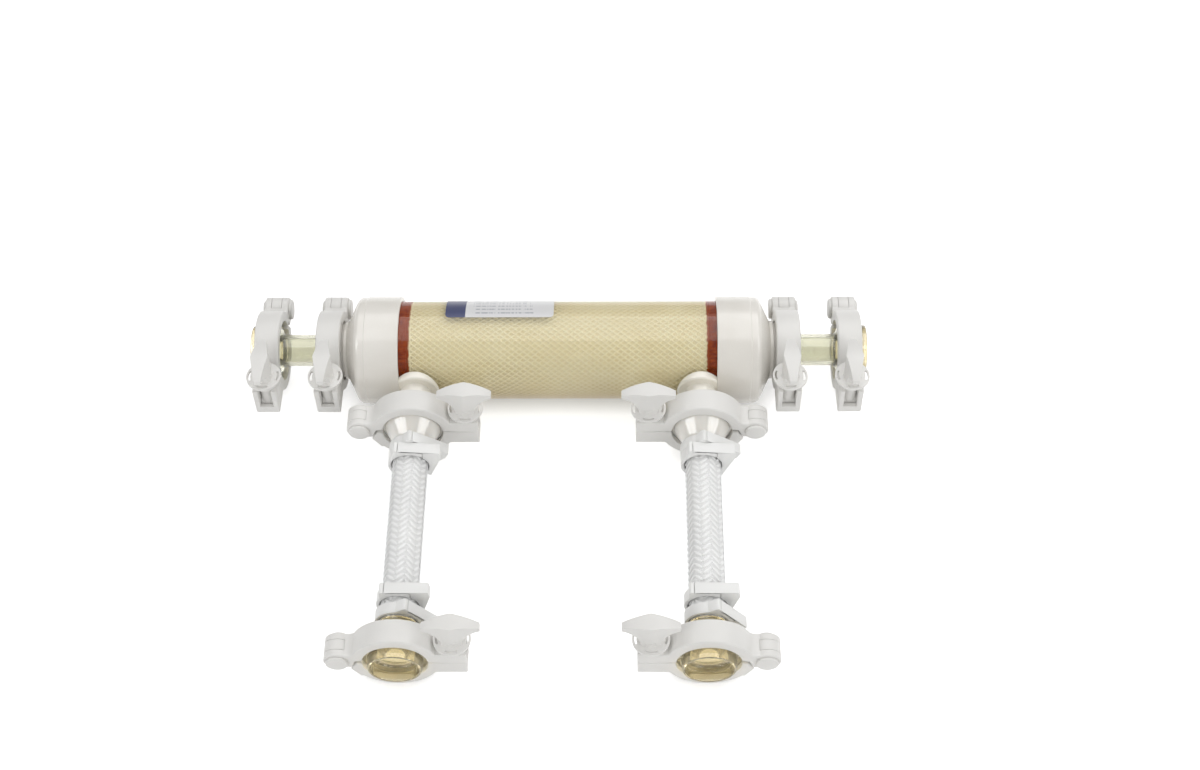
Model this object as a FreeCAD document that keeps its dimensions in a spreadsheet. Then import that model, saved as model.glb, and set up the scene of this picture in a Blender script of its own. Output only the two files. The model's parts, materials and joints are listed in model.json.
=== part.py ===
import FreeCAD, Part
import math
import os
import Sketcher

# Hollow fibre filter cartridge, lying as it rests on a bench.
# The cartridge axis runs along X at the height of an end cap's radius, +Z is up.
# Two permeate legs leave the front of the housing towards -Y and lean down to the bench.
# The origin is on the bench, midway between the two ends and between the front and the back.

# Driving dimensions, in millimetres and degrees
SIZES = {
    # housing
    "tube_od": 72.0,
    "tube_wall": 4.2,
    "tube_length": 262.0,
    "potting_depth": 21.3,
    "bond_gap": 0.1,
    "net_wall": 0.8,
    "net_gap": 0.3,
    "net_end_gap": 2.7,
    # end caps
    "cap_wall": 3.3,
    "cap_overlap": 16.0,
    "cap_skirt": 31.0,
    "cap_seam": 6.0,
    "cap_seam_step": 0.4,
    "cap_cone_length": 8.3,
    "cap_round": 8.6,
    "cap_edge": 0.8,
    "cap_neck_od": 39.6,
    "cap_collar_od": 42.6,
    "cap_collar_length": 2.6,
    "cap_reach": 51.3,
    "cap_bore": 34.8,
    "header_step": 1.0,
    # sanitary ferrules and gaskets
    "ferrule_od": 50.5,
    "ferrule_rim": 2.85,
    "ferrule_slope": 20.0,
    "gasket_thickness": 1.6,
    "gasket_bore": 34.8,
    # clear spools between the end clamps
    "spool_length": 42.8,
    "spool_od": 23.4,
    "spool_bore": 17.4,
    "spool_root": 1.6,
    # amber blind caps
    "blind_depth": 12.7,
    "blind_od": 35.8,
    "blind_flare": 0.8,
    "blind_wall": 1.6,
    "blind_floor": 1.5,
    "blind_draft": 1.0,
    "blind_round": 2.4,
    # permeate ports
    "port_inset": 11.5,
    "port_face": 27.95,
    "port_collar_od": 34.0,
    "port_collar_reach": 2.0,
    "port_neck_od": 22.0,
    "port_bore": 16.0,
    "port_edge": 1.0,
    # hose adapters and hoses
    "adapter_length": 18.95,
    "adapter_base_od": 39.6,
    "adapter_step": 1.2,
    "shoulder_land": 2.0,
    "barb_length": 27.0,
    "barb_od": 18.4,
    "barb_ridge": 0.6,
    "adapter_bore": 14.6,
    "hose_od": 27.0,
    "hose_bore": 19.0,
    "hose_length": 144.2,
    "hose_taper": 1.0,
    "barb_gap": 0.2,
    # hose clips
    "clip_width": 8.3,
    "clip_band": 2.2,
    "clip_gap": 0.05,
    "clip_head_top": 4.1,
    "clip_head_left": 12.6,
    "clip_head_right": 21.5,
    "clip_head_side": 11.5,
    "clip_toe": 1.54,
    "clip_toe_drop": 10.99,
    "clip_bevel": 1.0,
    "clip_slit": 0.4,
    "clip_tooth": 2.0,
    "clip_latch": 3.2,
    "clip_pitch": 8.4,
    "outlet_pitch": 13.44,
    "clip_setback": 0.9,
    # clamps
    "clamp_od": 58.4,
    "clamp_width": 17.3,
    "clamp_opening": 43.7,
    "clamp_edge": 0.7,
    "seat_gap": 0.12,
    "rim_gap": 0.8,
    "hinge_reach": 9.0,
    "hinge_rise": 1.5,
    "hinge_od": 18.2,
    "arm_top": 9.2,
    "arm_blend": 6.0,
    "arm_relief": 3.0,
    "arm_skin": 1.0,
    "arm_root": 2.0,
    "arm_shoulder": 5.0,
    "knuckle_width": 7.3,
    "knuckle_gap": 0.3,
    "pin_od": 6.0,
    "pin_gap": 0.1,
    "pin_head_od": 15.0,
    "pin_head_height": 2.3,
    "pin_button_od": 13.0,
    "pin_button_height": 1.9,
    "hinge_gap_up": 2.6,
    "hinge_gap_down": 1.4,
    "parting_tail": 1.2,
    "step_reach": 3.6,
    "step_slant": 4.4,
    "step_depth": 9.2,
    "step_gap": 0.6,
    "shoulder_depth": 18.4,
    "shoulder_inset": 1.0,
    "tail_reach": 8.8,
    "tail_top": 10.5,
    "tail_bottom": 13.2,
    "tail_touch": 4.2,
    "tail_blend": 3.0,
    "slot_gap": 0.4,
    "bar_thickness": 3.0,
    "bar_height": 6.0,
    "bolt_reach": 9.2,
    "bolt_od": 9.0,
    "bolt_pivot": 8.4,
    "bolt_side_gap": 0.25,
    "trunnion_od": 4.8,
    "trunnion_length": 14.0,
    "trunnion_gap": 0.1,
    # wing nuts
    "nut_foot_od": 17.0,
    "nut_foot": 6.0,
    "nut_flange_od": 25.0,
    "nut_flange": 2.0,
    "nut_span": 38.4,
    "nut_depth": 12.6,
    "nut_tip_depth": 4.8,
    "nut_tip_height": 3.5,
    "nut_height": 24.5,
    "nut_crown": 5.3,
    "nut_hub_od": 13.6,
    "nut_hub_height": 3.6,
    "nut_bore_gap": 0.1,
    "nut_bore_depth": 17.0,
    "bolt_end_gap": 2.0,
    "nut_slot_circle": 20.6,
    "nut_slot_width": 1.5,
    "nut_slot_angle": 46.0,
    # label
    "label_length": 78.6,
    "label_width": 45.0,
    "label_thickness": 0.2,
    "label_centre": -42.4,
    "label_angle": 52.0,
    "label_round": 3.0,
}

# Places worked out from the sizes: stations along the cartridge and along a leg
PLACES = {
    "tube_end": "Sizes.tube_length / 2",
    "cap_rim": "tube_end - Sizes.cap_overlap",
    "cap_radius": "Sizes.tube_od / 2 + Sizes.bond_gap + Sizes.cap_wall",
    "axis_height": "cap_radius",
    "shoulder_drop": "cap_radius - Sizes.cap_seam_step - Sizes.cap_collar_od / 2",
    "shoulder_turn": "atan2(shoulder_drop; Sizes.cap_cone_length)",
    "shoulder_limit": "(Sizes.cap_seam - Sizes.cap_seam_step) / tan(shoulder_turn / 2)",
    "tube_bore_radius": "Sizes.tube_od / 2 - Sizes.tube_wall",
    "end_face": "cap_rim + Sizes.cap_reach",
    "inner_clamp": "end_face + Sizes.gasket_thickness / 2",
    "spool_face": "end_face + Sizes.gasket_thickness",
    "spool_end": "spool_face + Sizes.spool_length",
    "outer_clamp": "spool_end + Sizes.gasket_thickness / 2",
    "outer_blind": "spool_end + Sizes.gasket_thickness",
    "port_axis": "cap_rim - Sizes.port_inset",
    "port_end": "Sizes.tube_od / 2 + Sizes.port_face",
    "near_clamp": "port_end + Sizes.gasket_thickness / 2",
    "near_adapter": "port_end + Sizes.gasket_thickness",
    "hose_start": "near_adapter + Sizes.adapter_length",
    "hose_end": "hose_start + Sizes.hose_length",
    "far_adapter": "hose_end + Sizes.adapter_length",
    "far_clamp": "far_adapter + Sizes.gasket_thickness / 2",
    "far_blind": "far_adapter + Sizes.gasket_thickness",
    "clamp_foot": "far_clamp + Sizes.clamp_width / 2 - Sizes.clamp_edge",
    "clamp_radius": "Sizes.clamp_od / 2",
    "hinge_axis": "clamp_radius + Sizes.hinge_reach",
    "bolt_axis": "clamp_radius + Sizes.bolt_reach",
    "tail_end": "bolt_axis + Sizes.tail_reach",
    "step_place": "clamp_radius - Sizes.step_reach",
    "slot_width": "Sizes.bolt_od + 2 * Sizes.slot_gap",
    "clip_top": "Sizes.hose_od / 2 + Sizes.clip_head_top",
    "foot_span": "sqrt(clamp_foot * clamp_foot + clamp_radius * clamp_radius)",
    "lean": "asin(axis_height / foot_span) - atan2(clamp_radius; clamp_foot)",
    "front_reach": "(far_blind + Sizes.blind_depth) * cos(lean) + Sizes.blind_od / 2 * sin(lean)",
    "back_reach": "hinge_axis + Sizes.hinge_od / 2",
    "set_back": "(front_reach - back_reach) / 2",
    "ferrule_radius": "Sizes.ferrule_od / 2",
    "slope": "tan(Sizes.ferrule_slope * 1 deg)",
    "rim_half": "Sizes.ferrule_rim + Sizes.gasket_thickness / 2",
}

# Teeth in a hose clip's lap and ridges on a barb
CLIP_TEETH = 4
BARB_RIDGES = 3

# How far a cut's outline runs past the piece, in millimetres
PAST = " + 1"

document = FreeCAD.newDocument("filter_cartridge")
vector = FreeCAD.Vector


def fill_sheet(name, rows, as_formula):
    """A sheet with one named cell to a row."""
    sheet = document.addObject("Spreadsheet::Sheet", name)
    for row, (alias, content) in enumerate(rows.items(), start=1):
        sheet.set("A%d" % row, alias)
        sheet.set("B%d" % row, "=" + content if as_formula else str(content))
        sheet.setAlias("B%d" % row, alias)
    document.recompute()
    return sheet


sizes = fill_sheet("Sizes", SIZES, False)
places = fill_sheet("Places", PLACES, True)


def number(expression):
    """Present value of an expression, for the first guess of a sketch's geometry."""
    value = sizes.evalExpression(str(expression))
    return float(getattr(value, "Value", value))


class Arc:
    """The edge to the next corner is an arc about this centre; only one coordinate is held."""

    def __init__(self, centre, hold, clockwise=False):
        self.centre = centre
        self.hold = hold
        self.clockwise = clockwise


def new_body(label):
    body = document.addObject("PartDesign::Body", "Body_" + label)
    body.Label = label
    return body


def new_sketch(body, name, role, offset=None):
    """A sketch on one of the body's own origin planes, lifted off it by an expression."""
    sketch = body.newObject("Sketcher::SketchObject", name)
    plane = [item for item in body.Origin.OriginFeatures if item.Role == role][0]
    sketch.AttachmentSupport = [(plane, "")]
    sketch.MapMode = "FlatFace"
    if offset is not None:
        sketch.setExpression("AttachmentOffset.Base.z", offset)
    return sketch


def hold(sketch, kind, expression, *where):
    """One driving constraint bound to an expression."""
    index = sketch.addConstraint(Sketcher.Constraint(kind, *where, number(expression)))
    sketch.setExpression("Constraints[%d]" % index, str(expression))


def hold_point(sketch, geometry, point, x, y):
    hold(sketch, "DistanceX", x, -1, 1, geometry, point)
    hold(sketch, "DistanceY", y, -1, 1, geometry, point)


def draw_circle(sketch, x, y, diameter):
    radius = number(diameter) / 2
    circle = Part.Circle(vector(number(x), number(y), 0), vector(0, 0, 1), radius)
    index = sketch.addGeometry(circle, False)
    hold_point(sketch, index, 3, x, y)
    hold(sketch, "Diameter", diameter, index)


def draw_outline(sketch, corners):
    """A closed outline: corners are (x, y) expressions, with an Arc where the next edge is round."""
    count = len(corners)
    points = [vector(number(c[0]), number(c[1]), 0) for c in corners]
    edges = []
    for i, corner in enumerate(corners):
        start, end = points[i], points[(i + 1) % count]
        if len(corner) == 2:
            index = sketch.addGeometry(Part.LineSegment(start, end), False)
            edges.append((index, 1, 2))
            continue
        arc = corner[2]
        centre = vector(number(arc.centre[0]), number(arc.centre[1]), 0)
        circle = Part.Circle(centre, vector(0, 0, 1), (start - centre).Length)
        first, last = (end, start) if arc.clockwise else (start, end)
        angles = [math.atan2(p.y - centre.y, p.x - centre.x) for p in (first, last)]
        index = sketch.addGeometry(Part.ArcOfCircle(circle, angles[0], angles[1]), False)
        edges.append((index, 2, 1) if arc.clockwise else (index, 1, 2))
    for i in range(count):
        after = edges[(i + 1) % count]
        sketch.addConstraint(Sketcher.Constraint("Coincident", edges[i][0], edges[i][2], after[0], after[1]))
    for i, corner in enumerate(corners):
        hold_point(sketch, edges[i][0], edges[i][1], corner[0], corner[1])
        if len(corner) == 3:
            kind = "DistanceX" if corner[2].hold == "x" else "DistanceY"
            value = corner[2].centre[0 if corner[2].hold == "x" else 1]
            hold(sketch, kind, value, -1, 1, edges[i][0], 3)


def revolve(body, name, corners):
    """Turned about the body's Z axis; corners are (radius, station)."""
    sketch = new_sketch(body, name + "_profile", "XZ_Plane")
    draw_outline(sketch, corners)
    feature = body.newObject("PartDesign::Revolution", name)
    feature.Profile = sketch
    feature.ReferenceAxis = (sketch, ["V_Axis"])
    feature.Angle = 360
    body.Tip = feature
    return feature


def groove(body, name, corners):
    """A round cut about the body's Z axis."""
    sketch = new_sketch(body, name + "_profile", "XZ_Plane")
    draw_outline(sketch, corners)
    feature = body.newObject("PartDesign::Groove", name)
    feature.Profile = sketch
    feature.ReferenceAxis = (sketch, ["V_Axis"])
    feature.Angle = 360
    body.Tip = feature
    return feature


def pad(body, name, sketch, length, symmetric=True, reverse=False):
    feature = body.newObject("PartDesign::Pad", name)
    feature.Profile = sketch
    feature.SideType = "Symmetric" if symmetric else "One side"
    feature.Reversed = reverse
    feature.setExpression("Length", length)
    body.Tip = feature
    return feature


def pocket(body, name, sketch, length=None, symmetric=True, reverse=False):
    """A straight cut, right through where no length is given."""
    feature = body.newObject("PartDesign::Pocket", name)
    feature.Profile = sketch
    feature.SideType = "Symmetric" if symmetric else "One side"
    feature.Reversed = reverse
    if length is None:
        feature.Type = "ThroughAll"
    else:
        feature.setExpression("Length", length)
    body.Tip = feature
    return feature


def dress(body, kind, name, base, parts, size):
    """A fillet or chamfer of the named edges or faces of the feature before it."""
    feature = body.newObject("PartDesign::" + kind, name)
    feature.Base = (base, parts)
    feature.setExpression("Radius" if kind == "Fillet" else "Size", size)
    body.Tip = feature
    return feature


def edges_where(shape, test):
    return ["Edge%d" % (i + 1) for i, edge in enumerate(shape.Edges) if test(edge)]


def faces_where(shape, test):
    return ["Face%d" % (i + 1) for i, face in enumerate(shape.Faces) if test(face)]


def is_rim(edge, radius, station):
    """A full circle about Z of this radius at this station."""
    curve = edge.Curve
    if curve.TypeId != "Part::GeomCircle":
        return False
    return abs(curve.Radius - radius) < 1e-4 and abs(curve.Center.z - station) < 1e-4


def is_upright_edge(edge, x, y):
    """A straight edge along Z that passes through this point."""
    ends = [vertex.Point for vertex in edge.Vertexes]
    return len(ends) == 2 and all(math.hypot(p.x - x, p.y - y) < 1e-3 for p in ends)


def frame(*moves):
    """Placement expression: moves are (x, y, z, axis letter, angle) applied from the outside in."""
    axes = {"x": "1; 0; 0", "y": "0; 1; 0", "z": "0; 0; 1"}
    steps = []
    for x, y, z, axis, angle in moves:
        base = "create(<<vector>>; %s; %s; %s)" % (x, y, z)
        turn = "create(<<rotation>>; create(<<vector>>; %s); %s)" % (axes[axis], angle)
        steps.append("create(<<placement>>; %s; %s)" % (base, turn))
    return " * ".join(steps)


def along_cartridge(side, station):
    """Local Z points out along the cartridge, from this station on the right or left."""
    angle = "90 deg" if side > 0 else "-90 deg"
    return frame(("%d * (%s)" % (side, station), "Places.set_back", "Places.axis_height", "y", angle))


def along_leg(side, station, reach=1):
    """Local Z runs out along a permeate leg, or back with reach -1; local Y is up."""
    axis = "%d * Places.port_axis" % side
    top = (axis, "Places.set_back", "Places.axis_height", "x", "90 deg + Places.lean")
    flip = (0, 0, station, "y", "0 deg" if reach > 0 else "180 deg")
    return frame(top, flip)


def place(body, placement):
    body.setExpression("Placement", placement)


def clone(label, source, placement):
    """Another piece off the same drawing."""
    body = document.addObject("PartDesign::Body", "Body_" + label)
    body.Label = label
    feature = document.addObject("PartDesign::FeatureBase", "Copy_" + label)
    body.Group = [feature]
    feature.BaseFeature = source
    body.Tip = feature
    place(body, placement)
    return body


def group_of(label, members):
    """Like pieces that share one node, each its own solid."""
    compound = document.addObject("Part::Compound", "Group_" + label)
    compound.Label = label
    compound.Links = members
    return compound


nodes = []

# A sanitary ferrule's back: rim, then the slope down to the neck
FERRULE_RADIUS = "Sizes.ferrule_od / 2"


def ferrule_back(neck_radius, face, sign):
    """Corners from the face's outer edge to the neck; sign is the way from the face to the back."""
    rim = "(%s) + %d * Sizes.ferrule_rim" % (face, sign)
    foot = "%s + %d * (Sizes.ferrule_od / 2 - (%s)) * Places.slope" % (rim, sign, neck_radius)
    return [(FERRULE_RADIUS, face), (FERRULE_RADIUS, rim), (neck_radius, foot)]


# Housing: clear tube, fibre bundle in its net, potting at both ends

def make_housing_tube():
    body = new_body("housing_tube")
    inner, outer = "Places.tube_bore_radius", "Sizes.tube_od / 2"
    revolve(body, "tube", [(inner, "-Places.tube_end"), (outer, "-Places.tube_end"),
                           (outer, "Places.tube_end"), (inner, "Places.tube_end")])
    sketch = new_sketch(body, "port_holes_outline", "XZ_Plane")
    for side in (-1, 1):
        draw_circle(sketch, 0, "%d * Places.port_axis" % side, "Sizes.port_bore")
    pocket(body, "port_holes", sketch, "Sizes.tube_od", symmetric=False, reverse=True)
    lean = (0, "Places.set_back", "Places.axis_height", "x", "Places.lean")
    place(body, frame(lean, (0, 0, 0, "y", "90 deg")))
    nodes.append(body)


def make_bundle():
    body = new_body("fiber_bundle")
    radius = "Places.tube_bore_radius - 2 * Sizes.net_gap - Sizes.net_wall"
    end = "Places.tube_end - Sizes.potting_depth"
    revolve(body, "fibres", [(0, "-(%s)" % end), (radius, "-(%s)" % end), (radius, end), (0, end)])
    place(body, along_cartridge(1, 0))
    nodes.append(body)
    net = new_body("bundle_net")
    inner = "Places.tube_bore_radius - Sizes.net_gap - Sizes.net_wall"
    outer = "Places.tube_bore_radius - Sizes.net_gap"
    half = "(%s - Sizes.net_end_gap)" % end
    revolve(net, "net", [(inner, "-" + half), (outer, "-" + half), (outer, half), (inner, half)])
    place(net, along_cartridge(1, 0))
    nodes.append(net)


def make_potting():
    body = new_body("potting_right")
    radius = "Places.tube_bore_radius - Sizes.bond_gap"
    inner = "Places.tube_end - Sizes.potting_depth"
    revolve(body, "resin", [(0, inner), (radius, inner), (radius, "Places.tube_end"), (0, "Places.tube_end")])
    place(body, along_cartridge(1, 0))
    nodes.append(body)
    nodes.append(clone("potting_left", body, along_cartridge(-1, 0)))


def make_label():
    body = new_body("label")
    inner = "Sizes.tube_od / 2"
    outer = "Sizes.tube_od / 2 + Sizes.label_thickness"
    half = "Sizes.label_length / 2"
    sketch = new_sketch(body, "strip_profile", "XZ_Plane")
    draw_outline(sketch, [(inner, "-" + half), (outer, "-" + half), (outer, half), (inner, half)])
    feature = body.newObject("PartDesign::Revolution", "strip")
    feature.Profile = sketch
    feature.ReferenceAxis = (sketch, ["V_Axis"])
    feature.setExpression("Angle", "Sizes.label_width / (Sizes.tube_od / 2) * 180 / pi")
    body.Tip = feature
    document.recompute()
    thin = number("Sizes.label_thickness")
    corners = edges_where(body.Shape, lambda edge: abs(edge.Length - thin) < 1e-6)
    dress(body, "Fillet", "round_corners", feature, corners, "Sizes.label_round")
    half_wrap = "Sizes.label_width / Sizes.tube_od * 180 / pi"
    turn = "Sizes.label_angle * 1 deg - 90 deg"
    around = frame(("Sizes.label_centre", "Places.set_back", "Places.axis_height", "x", turn),
                   (0, 0, 0, "y", "90 deg"), (0, 0, 0, "z", "180 deg - (%s) * 1 deg" % half_wrap))
    place(body, around)
    nodes.append(body)


# End cap: bonded skirt, shoulder, neck and ferrule, with the header space inside

def make_end_caps():
    body = new_body("end_cap_right")
    skirt, seam = "Places.cap_radius", "Sizes.cap_skirt - Sizes.cap_seam"
    low = "Places.cap_radius - Sizes.cap_seam_step"
    cone_end = "Sizes.cap_skirt + Sizes.cap_cone_length"
    collar, collar_end = "Sizes.cap_collar_od / 2", cone_end + " + Sizes.cap_collar_length"
    neck, face = "Sizes.cap_neck_od / 2", "Sizes.cap_reach"
    bore, stop = "Sizes.cap_bore / 2", "Places.tube_end - Places.cap_rim + Sizes.bond_gap"
    socket = "Sizes.tube_od / 2 + Sizes.bond_gap"
    back = ferrule_back(neck, face, -1)
    profile = [(socket, 0), (skirt + " - Sizes.cap_edge", 0), (skirt, "Sizes.cap_edge"),
               (skirt, seam + " - Sizes.cap_seam_step"), (low, seam), (low, "Sizes.cap_skirt"),
               (collar, cone_end), (collar, collar_end), (neck, collar_end)]
    profile += [back[2], back[1], back[0], (bore, face)]
    profile += [(bore, cone_end), ("Places.tube_bore_radius", "Sizes.cap_skirt - Sizes.header_step"),
                ("Places.tube_bore_radius", stop), (socket, stop)]
    turned = revolve(body, "cap", profile)
    document.recompute()
    shoulder = edges_where(body.Shape, lambda edge: is_rim(edge, number(low), number("Sizes.cap_skirt")))
    dress(body, "Fillet", "round_shoulder", turned, shoulder, "min(Sizes.cap_round; Places.shoulder_limit)")
    place(body, along_cartridge(1, "Places.cap_rim"))
    nodes.append(body)
    nodes.append(clone("end_cap_left", body, along_cartridge(-1, "Places.cap_rim")))


def make_spools():
    body = new_body("spool_right")
    neck, bore, top = "Sizes.spool_od / 2", "Sizes.spool_bore / 2", "Sizes.spool_length"
    root = "Sizes.spool_od / 2 + Sizes.spool_root"
    near, far = ferrule_back(root, 0, 1), ferrule_back(root, top, -1)
    near_foot = "(%s) + Sizes.spool_root" % near[2][1]
    far_foot = "(%s) - Sizes.spool_root" % far[2][1]
    profile = [(bore, 0), near[0], near[1], near[2] + (Arc((root, near_foot), "x", True),), (neck, near_foot),
               (neck, far_foot, Arc((root, far_foot), "x", True)), far[2], far[1], far[0], (bore, top)]
    revolve(body, "spool", profile)
    place(body, along_cartridge(1, "Places.spool_face"))
    nodes.append(body)
    nodes.append(clone("spool_left", body, along_cartridge(-1, "Places.spool_face")))


def make_blind_caps():
    body = new_body("retentate_cap_right")
    rim, top = "Sizes.blind_od / 2", "Sizes.blind_depth"
    root = "Sizes.blind_od / 2 + Sizes.blind_flare"
    mouth, floor = "Sizes.blind_od / 2 - Sizes.blind_wall", "Sizes.blind_floor"
    back = ferrule_back(root, 0, 1)
    foot = mouth + " - Sizes.blind_draft"
    profile = [(0, 0), back[0], back[1], back[2], (rim, top), (mouth, top), (foot, floor), (0, floor)]
    turned = revolve(body, "cup", profile)
    document.recompute()
    corner = edges_where(body.Shape, lambda edge: is_rim(edge, number(foot), number(floor)))
    dress(body, "Fillet", "round_floor", turned, corner, "Sizes.blind_round")
    place(body, along_cartridge(1, "Places.outer_blind"))
    nodes.append(body)
    nodes.append(clone("retentate_cap_left", body, along_cartridge(-1, "Places.outer_blind")))
    for side, word in ((-1, "left"), (1, "right")):
        nodes.append(clone("permeate_cap_" + word, body, along_leg(side, "Places.far_blind")))


# Permeate port: collar saddled on the tube and cut flat where it meets the end cap

def make_ports():
    for side, word in ((-1, "left"), (1, "right")):
        body = new_body("permeate_port_" + word)
        collar, reach = "Sizes.port_collar_od / 2", "Sizes.tube_od / 2 + Sizes.port_collar_reach"
        neck, face, bore = "Sizes.port_neck_od / 2", "Places.port_end", "Sizes.port_bore / 2"
        inside = "Places.tube_bore_radius"
        back = ferrule_back(neck, face, -1)
        profile = [(bore, inside), (collar, inside), (collar, reach + " - Sizes.port_edge"),
                   (collar + " - Sizes.port_edge", reach), (neck, reach)]
        profile += [back[2], back[1], back[0], (bore, face)]
        revolve(body, "port", profile)
        saddle = new_sketch(body, "saddle_outline", "YZ_Plane")
        draw_circle(saddle, 0, 0, "Sizes.tube_od + 2 * Sizes.bond_gap")
        pocket(body, "saddle", saddle)
        flat = new_sketch(body, "flat_outline", "XY_Plane")
        near = "%d * Sizes.port_inset" % side
        far = "%d * Sizes.port_collar_od" % side
        edge = "(%s%s)" % (collar, PAST)
        draw_outline(flat, [(near, "-" + edge), (far, "-" + edge), (far, edge), (near, edge)])
        pocket(body, "flat", flat, reach, symmetric=False, reverse=True)
        place(body, along_leg(side, 0))
        nodes.append(body)


# Hose adapter: ferrule, cone down to the hose and a ridged barb inside the hose

def adapter_profile():
    base, shoulder = "Sizes.adapter_base_od / 2", "Sizes.hose_od / 2"
    bore, core = "Sizes.adapter_bore / 2", "Sizes.barb_od / 2"
    step = "Sizes.barb_od / 2 + Sizes.barb_ridge"
    back = ferrule_back(base, 0, 1)
    land = "Sizes.adapter_length - Sizes.shoulder_land"
    corners = [(bore, 0), back[0], back[1], back[2], (base, back[2][1] + " + Sizes.adapter_step"),
               (shoulder, land), (shoulder, "Sizes.adapter_length"), (core, "Sizes.adapter_length")]
    for ridge in range(BARB_RIDGES):
        start = "Sizes.adapter_length + Sizes.barb_length * %d / %d" % (2 * ridge + 1, 2 * BARB_RIDGES)
        end = "Sizes.adapter_length + Sizes.barb_length * %d / %d" % (2 * ridge + 2, 2 * BARB_RIDGES)
        corners += [(core, start), (step, start), (core, end)]
    corners.append((bore, "Sizes.adapter_length + Sizes.barb_length"))
    return corners


def make_adapters():
    body = new_body("port_adapter_left")
    revolve(body, "adapter", adapter_profile())
    place(body, along_leg(-1, "Places.near_adapter"))
    nodes.append(body)
    nodes.append(clone("port_adapter_right", body, along_leg(1, "Places.near_adapter")))
    nodes.append(clone("outlet_adapter_left", body, along_leg(-1, "Places.far_adapter", -1)))
    nodes.append(clone("outlet_adapter_right", body, along_leg(1, "Places.far_adapter", -1)))


def make_hoses():
    body = new_body("hose_left")
    outer, inner, top = "Sizes.hose_od / 2", "Sizes.hose_bore / 2", "Sizes.hose_length"
    wide = "Sizes.barb_od / 2 + Sizes.barb_ridge + Sizes.barb_gap"
    grip, taper = "Sizes.barb_length", "Sizes.hose_taper"
    revolve(body, "hose", [(wide, 0), (outer, 0), (outer, top), (wide, top), (wide, top + " - " + grip),
                           (inner, "%s - %s - %s" % (top, grip, taper)), (inner, "%s + %s" % (grip, taper)),
                           (wide, grip)])
    place(body, along_leg(-1, "Places.hose_start"))
    nodes.append(body)
    nodes.append(clone("hose_right", body, along_leg(1, "Places.hose_start")))


def make_gaskets():
    seed = new_body("gasket")
    inner, outer, thick = "Sizes.gasket_bore / 2", "Sizes.ferrule_od / 2", "Sizes.gasket_thickness"
    revolve(seed, "ring", [(inner, 0), (outer, 0), (outer, thick), (inner, thick)])
    members = []
    for side, word in ((-1, "left"), (1, "right")):
        spots = {"inner": along_cartridge(side, "Places.end_face"),
                 "outer": along_cartridge(side, "Places.spool_end"),
                 "near": along_leg(side, "Places.port_end"),
                 "far": along_leg(side, "Places.far_adapter")}
        for spot, placement in spots.items():
            members.append(clone("gasket_%s_%s" % (spot, word), seed, placement))
    nodes.append(group_of("gaskets", members))


# Hose clip: an open band whose two arms lap over the hose with teeth between them

def make_clips():
    seed = new_body("hose_clip")
    inner = "Sizes.hose_od / 2 + Sizes.clip_gap"
    outer = "Sizes.hose_od / 2 + Sizes.clip_band"
    top, left, right = "Places.clip_top", "-Sizes.clip_head_left", "Sizes.clip_head_right"
    side, bevel = "Sizes.clip_head_side", "Sizes.clip_bevel"
    toe = "Sizes.hose_od / 2 + Sizes.clip_toe"
    band = new_sketch(seed, "band_outline", "XY_Plane")
    draw_circle(band, 0, 0, "2 * (%s)" % outer)
    pad(seed, "band", band, "Sizes.clip_width")
    head = new_sketch(seed, "head_outline", "XY_Plane")
    draw_outline(head, [(left, 0), (toe, "-Sizes.clip_toe_drop"), (right, side),
                        ("%s - %s" % (right, bevel), top), ("%s + %s" % (left, bevel), top),
                        (left, "%s - 2 * %s" % (top, bevel))])
    pad(seed, "head", head, "Sizes.clip_width")
    bore = new_sketch(seed, "bore_outline", "XY_Plane")
    draw_circle(bore, 0, 0, "2 * (%s)" % inner)
    pocket(seed, "bore", bore)
    # the lap between the arms: in from the top on the left, over the teeth, into the bore on the right
    lap = new_sketch(seed, "lap_outline", "XY_Plane")
    slit, tooth = "Sizes.clip_slit", "Sizes.clip_tooth"
    level = "((Sizes.hose_od / 2 + %s) / 2)" % top
    start = "(%s + Sizes.clip_latch)" % left
    lower, upper = [(start, top + PAST)], [(start + " + " + slit, top + PAST)]
    lower.append((start, level))
    upper.append((start + " + " + slit, level + " + " + slit))
    for k in range(CLIP_TEETH):
        foot = "(%s + Sizes.clip_latch / 2 + %d * %s)" % (start, 2 * k, tooth)
        crest = "(%s + %s)" % (foot, tooth)
        lower += [(foot, level), (crest, "%s + %s / 2" % (level, tooth))]
        upper += [(foot, "%s + %s" % (level, slit)), (crest, "%s + %s / 2 + %s" % (level, tooth, slit))]
    stop = "(%s + Sizes.clip_latch / 2 + %d * %s)" % (start, 2 * CLIP_TEETH, tooth)
    lower += [(stop, level), (stop, 0)]
    upper += [("%s + %s" % (stop, slit), "%s + %s" % (level, slit)), ("%s + %s" % (stop, slit), 0)]
    draw_outline(lap, lower + upper[::-1])
    pocket(seed, "lap", lap)
    members = []
    turns = {"port_near": -35, "port_far": -5, "outlet_near": 0, "outlet_far": -52}
    for side_sign, word in ((-1, "left"), (1, "right")):
        first = "Places.hose_start + Sizes.clip_setback + Sizes.clip_width / 2"
        last = "Places.hose_end - Sizes.clip_setback - Sizes.clip_width / 2"
        stations = {"port_near": first, "port_far": first + " + Sizes.clip_pitch",
                    "outlet_near": last + " - Sizes.outlet_pitch", "outlet_far": last}
        for spot, station in stations.items():
            placement = along_leg(side_sign, station) + " * "
            placement += frame((0, 0, 0, "z", "%d deg" % turns[spot]))
            members.append(clone("clip_%s_%s" % (spot, word), seed, placement))
    nodes.append(group_of("hose_clips", members))


# Clamp: two hinged jaws, a hinge pin, a bolt that stands in the tail slots and a wing nut
# Drawn in the clamp's own frame: X to the tail, Y up to the nut, Z along the pipe axis

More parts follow.
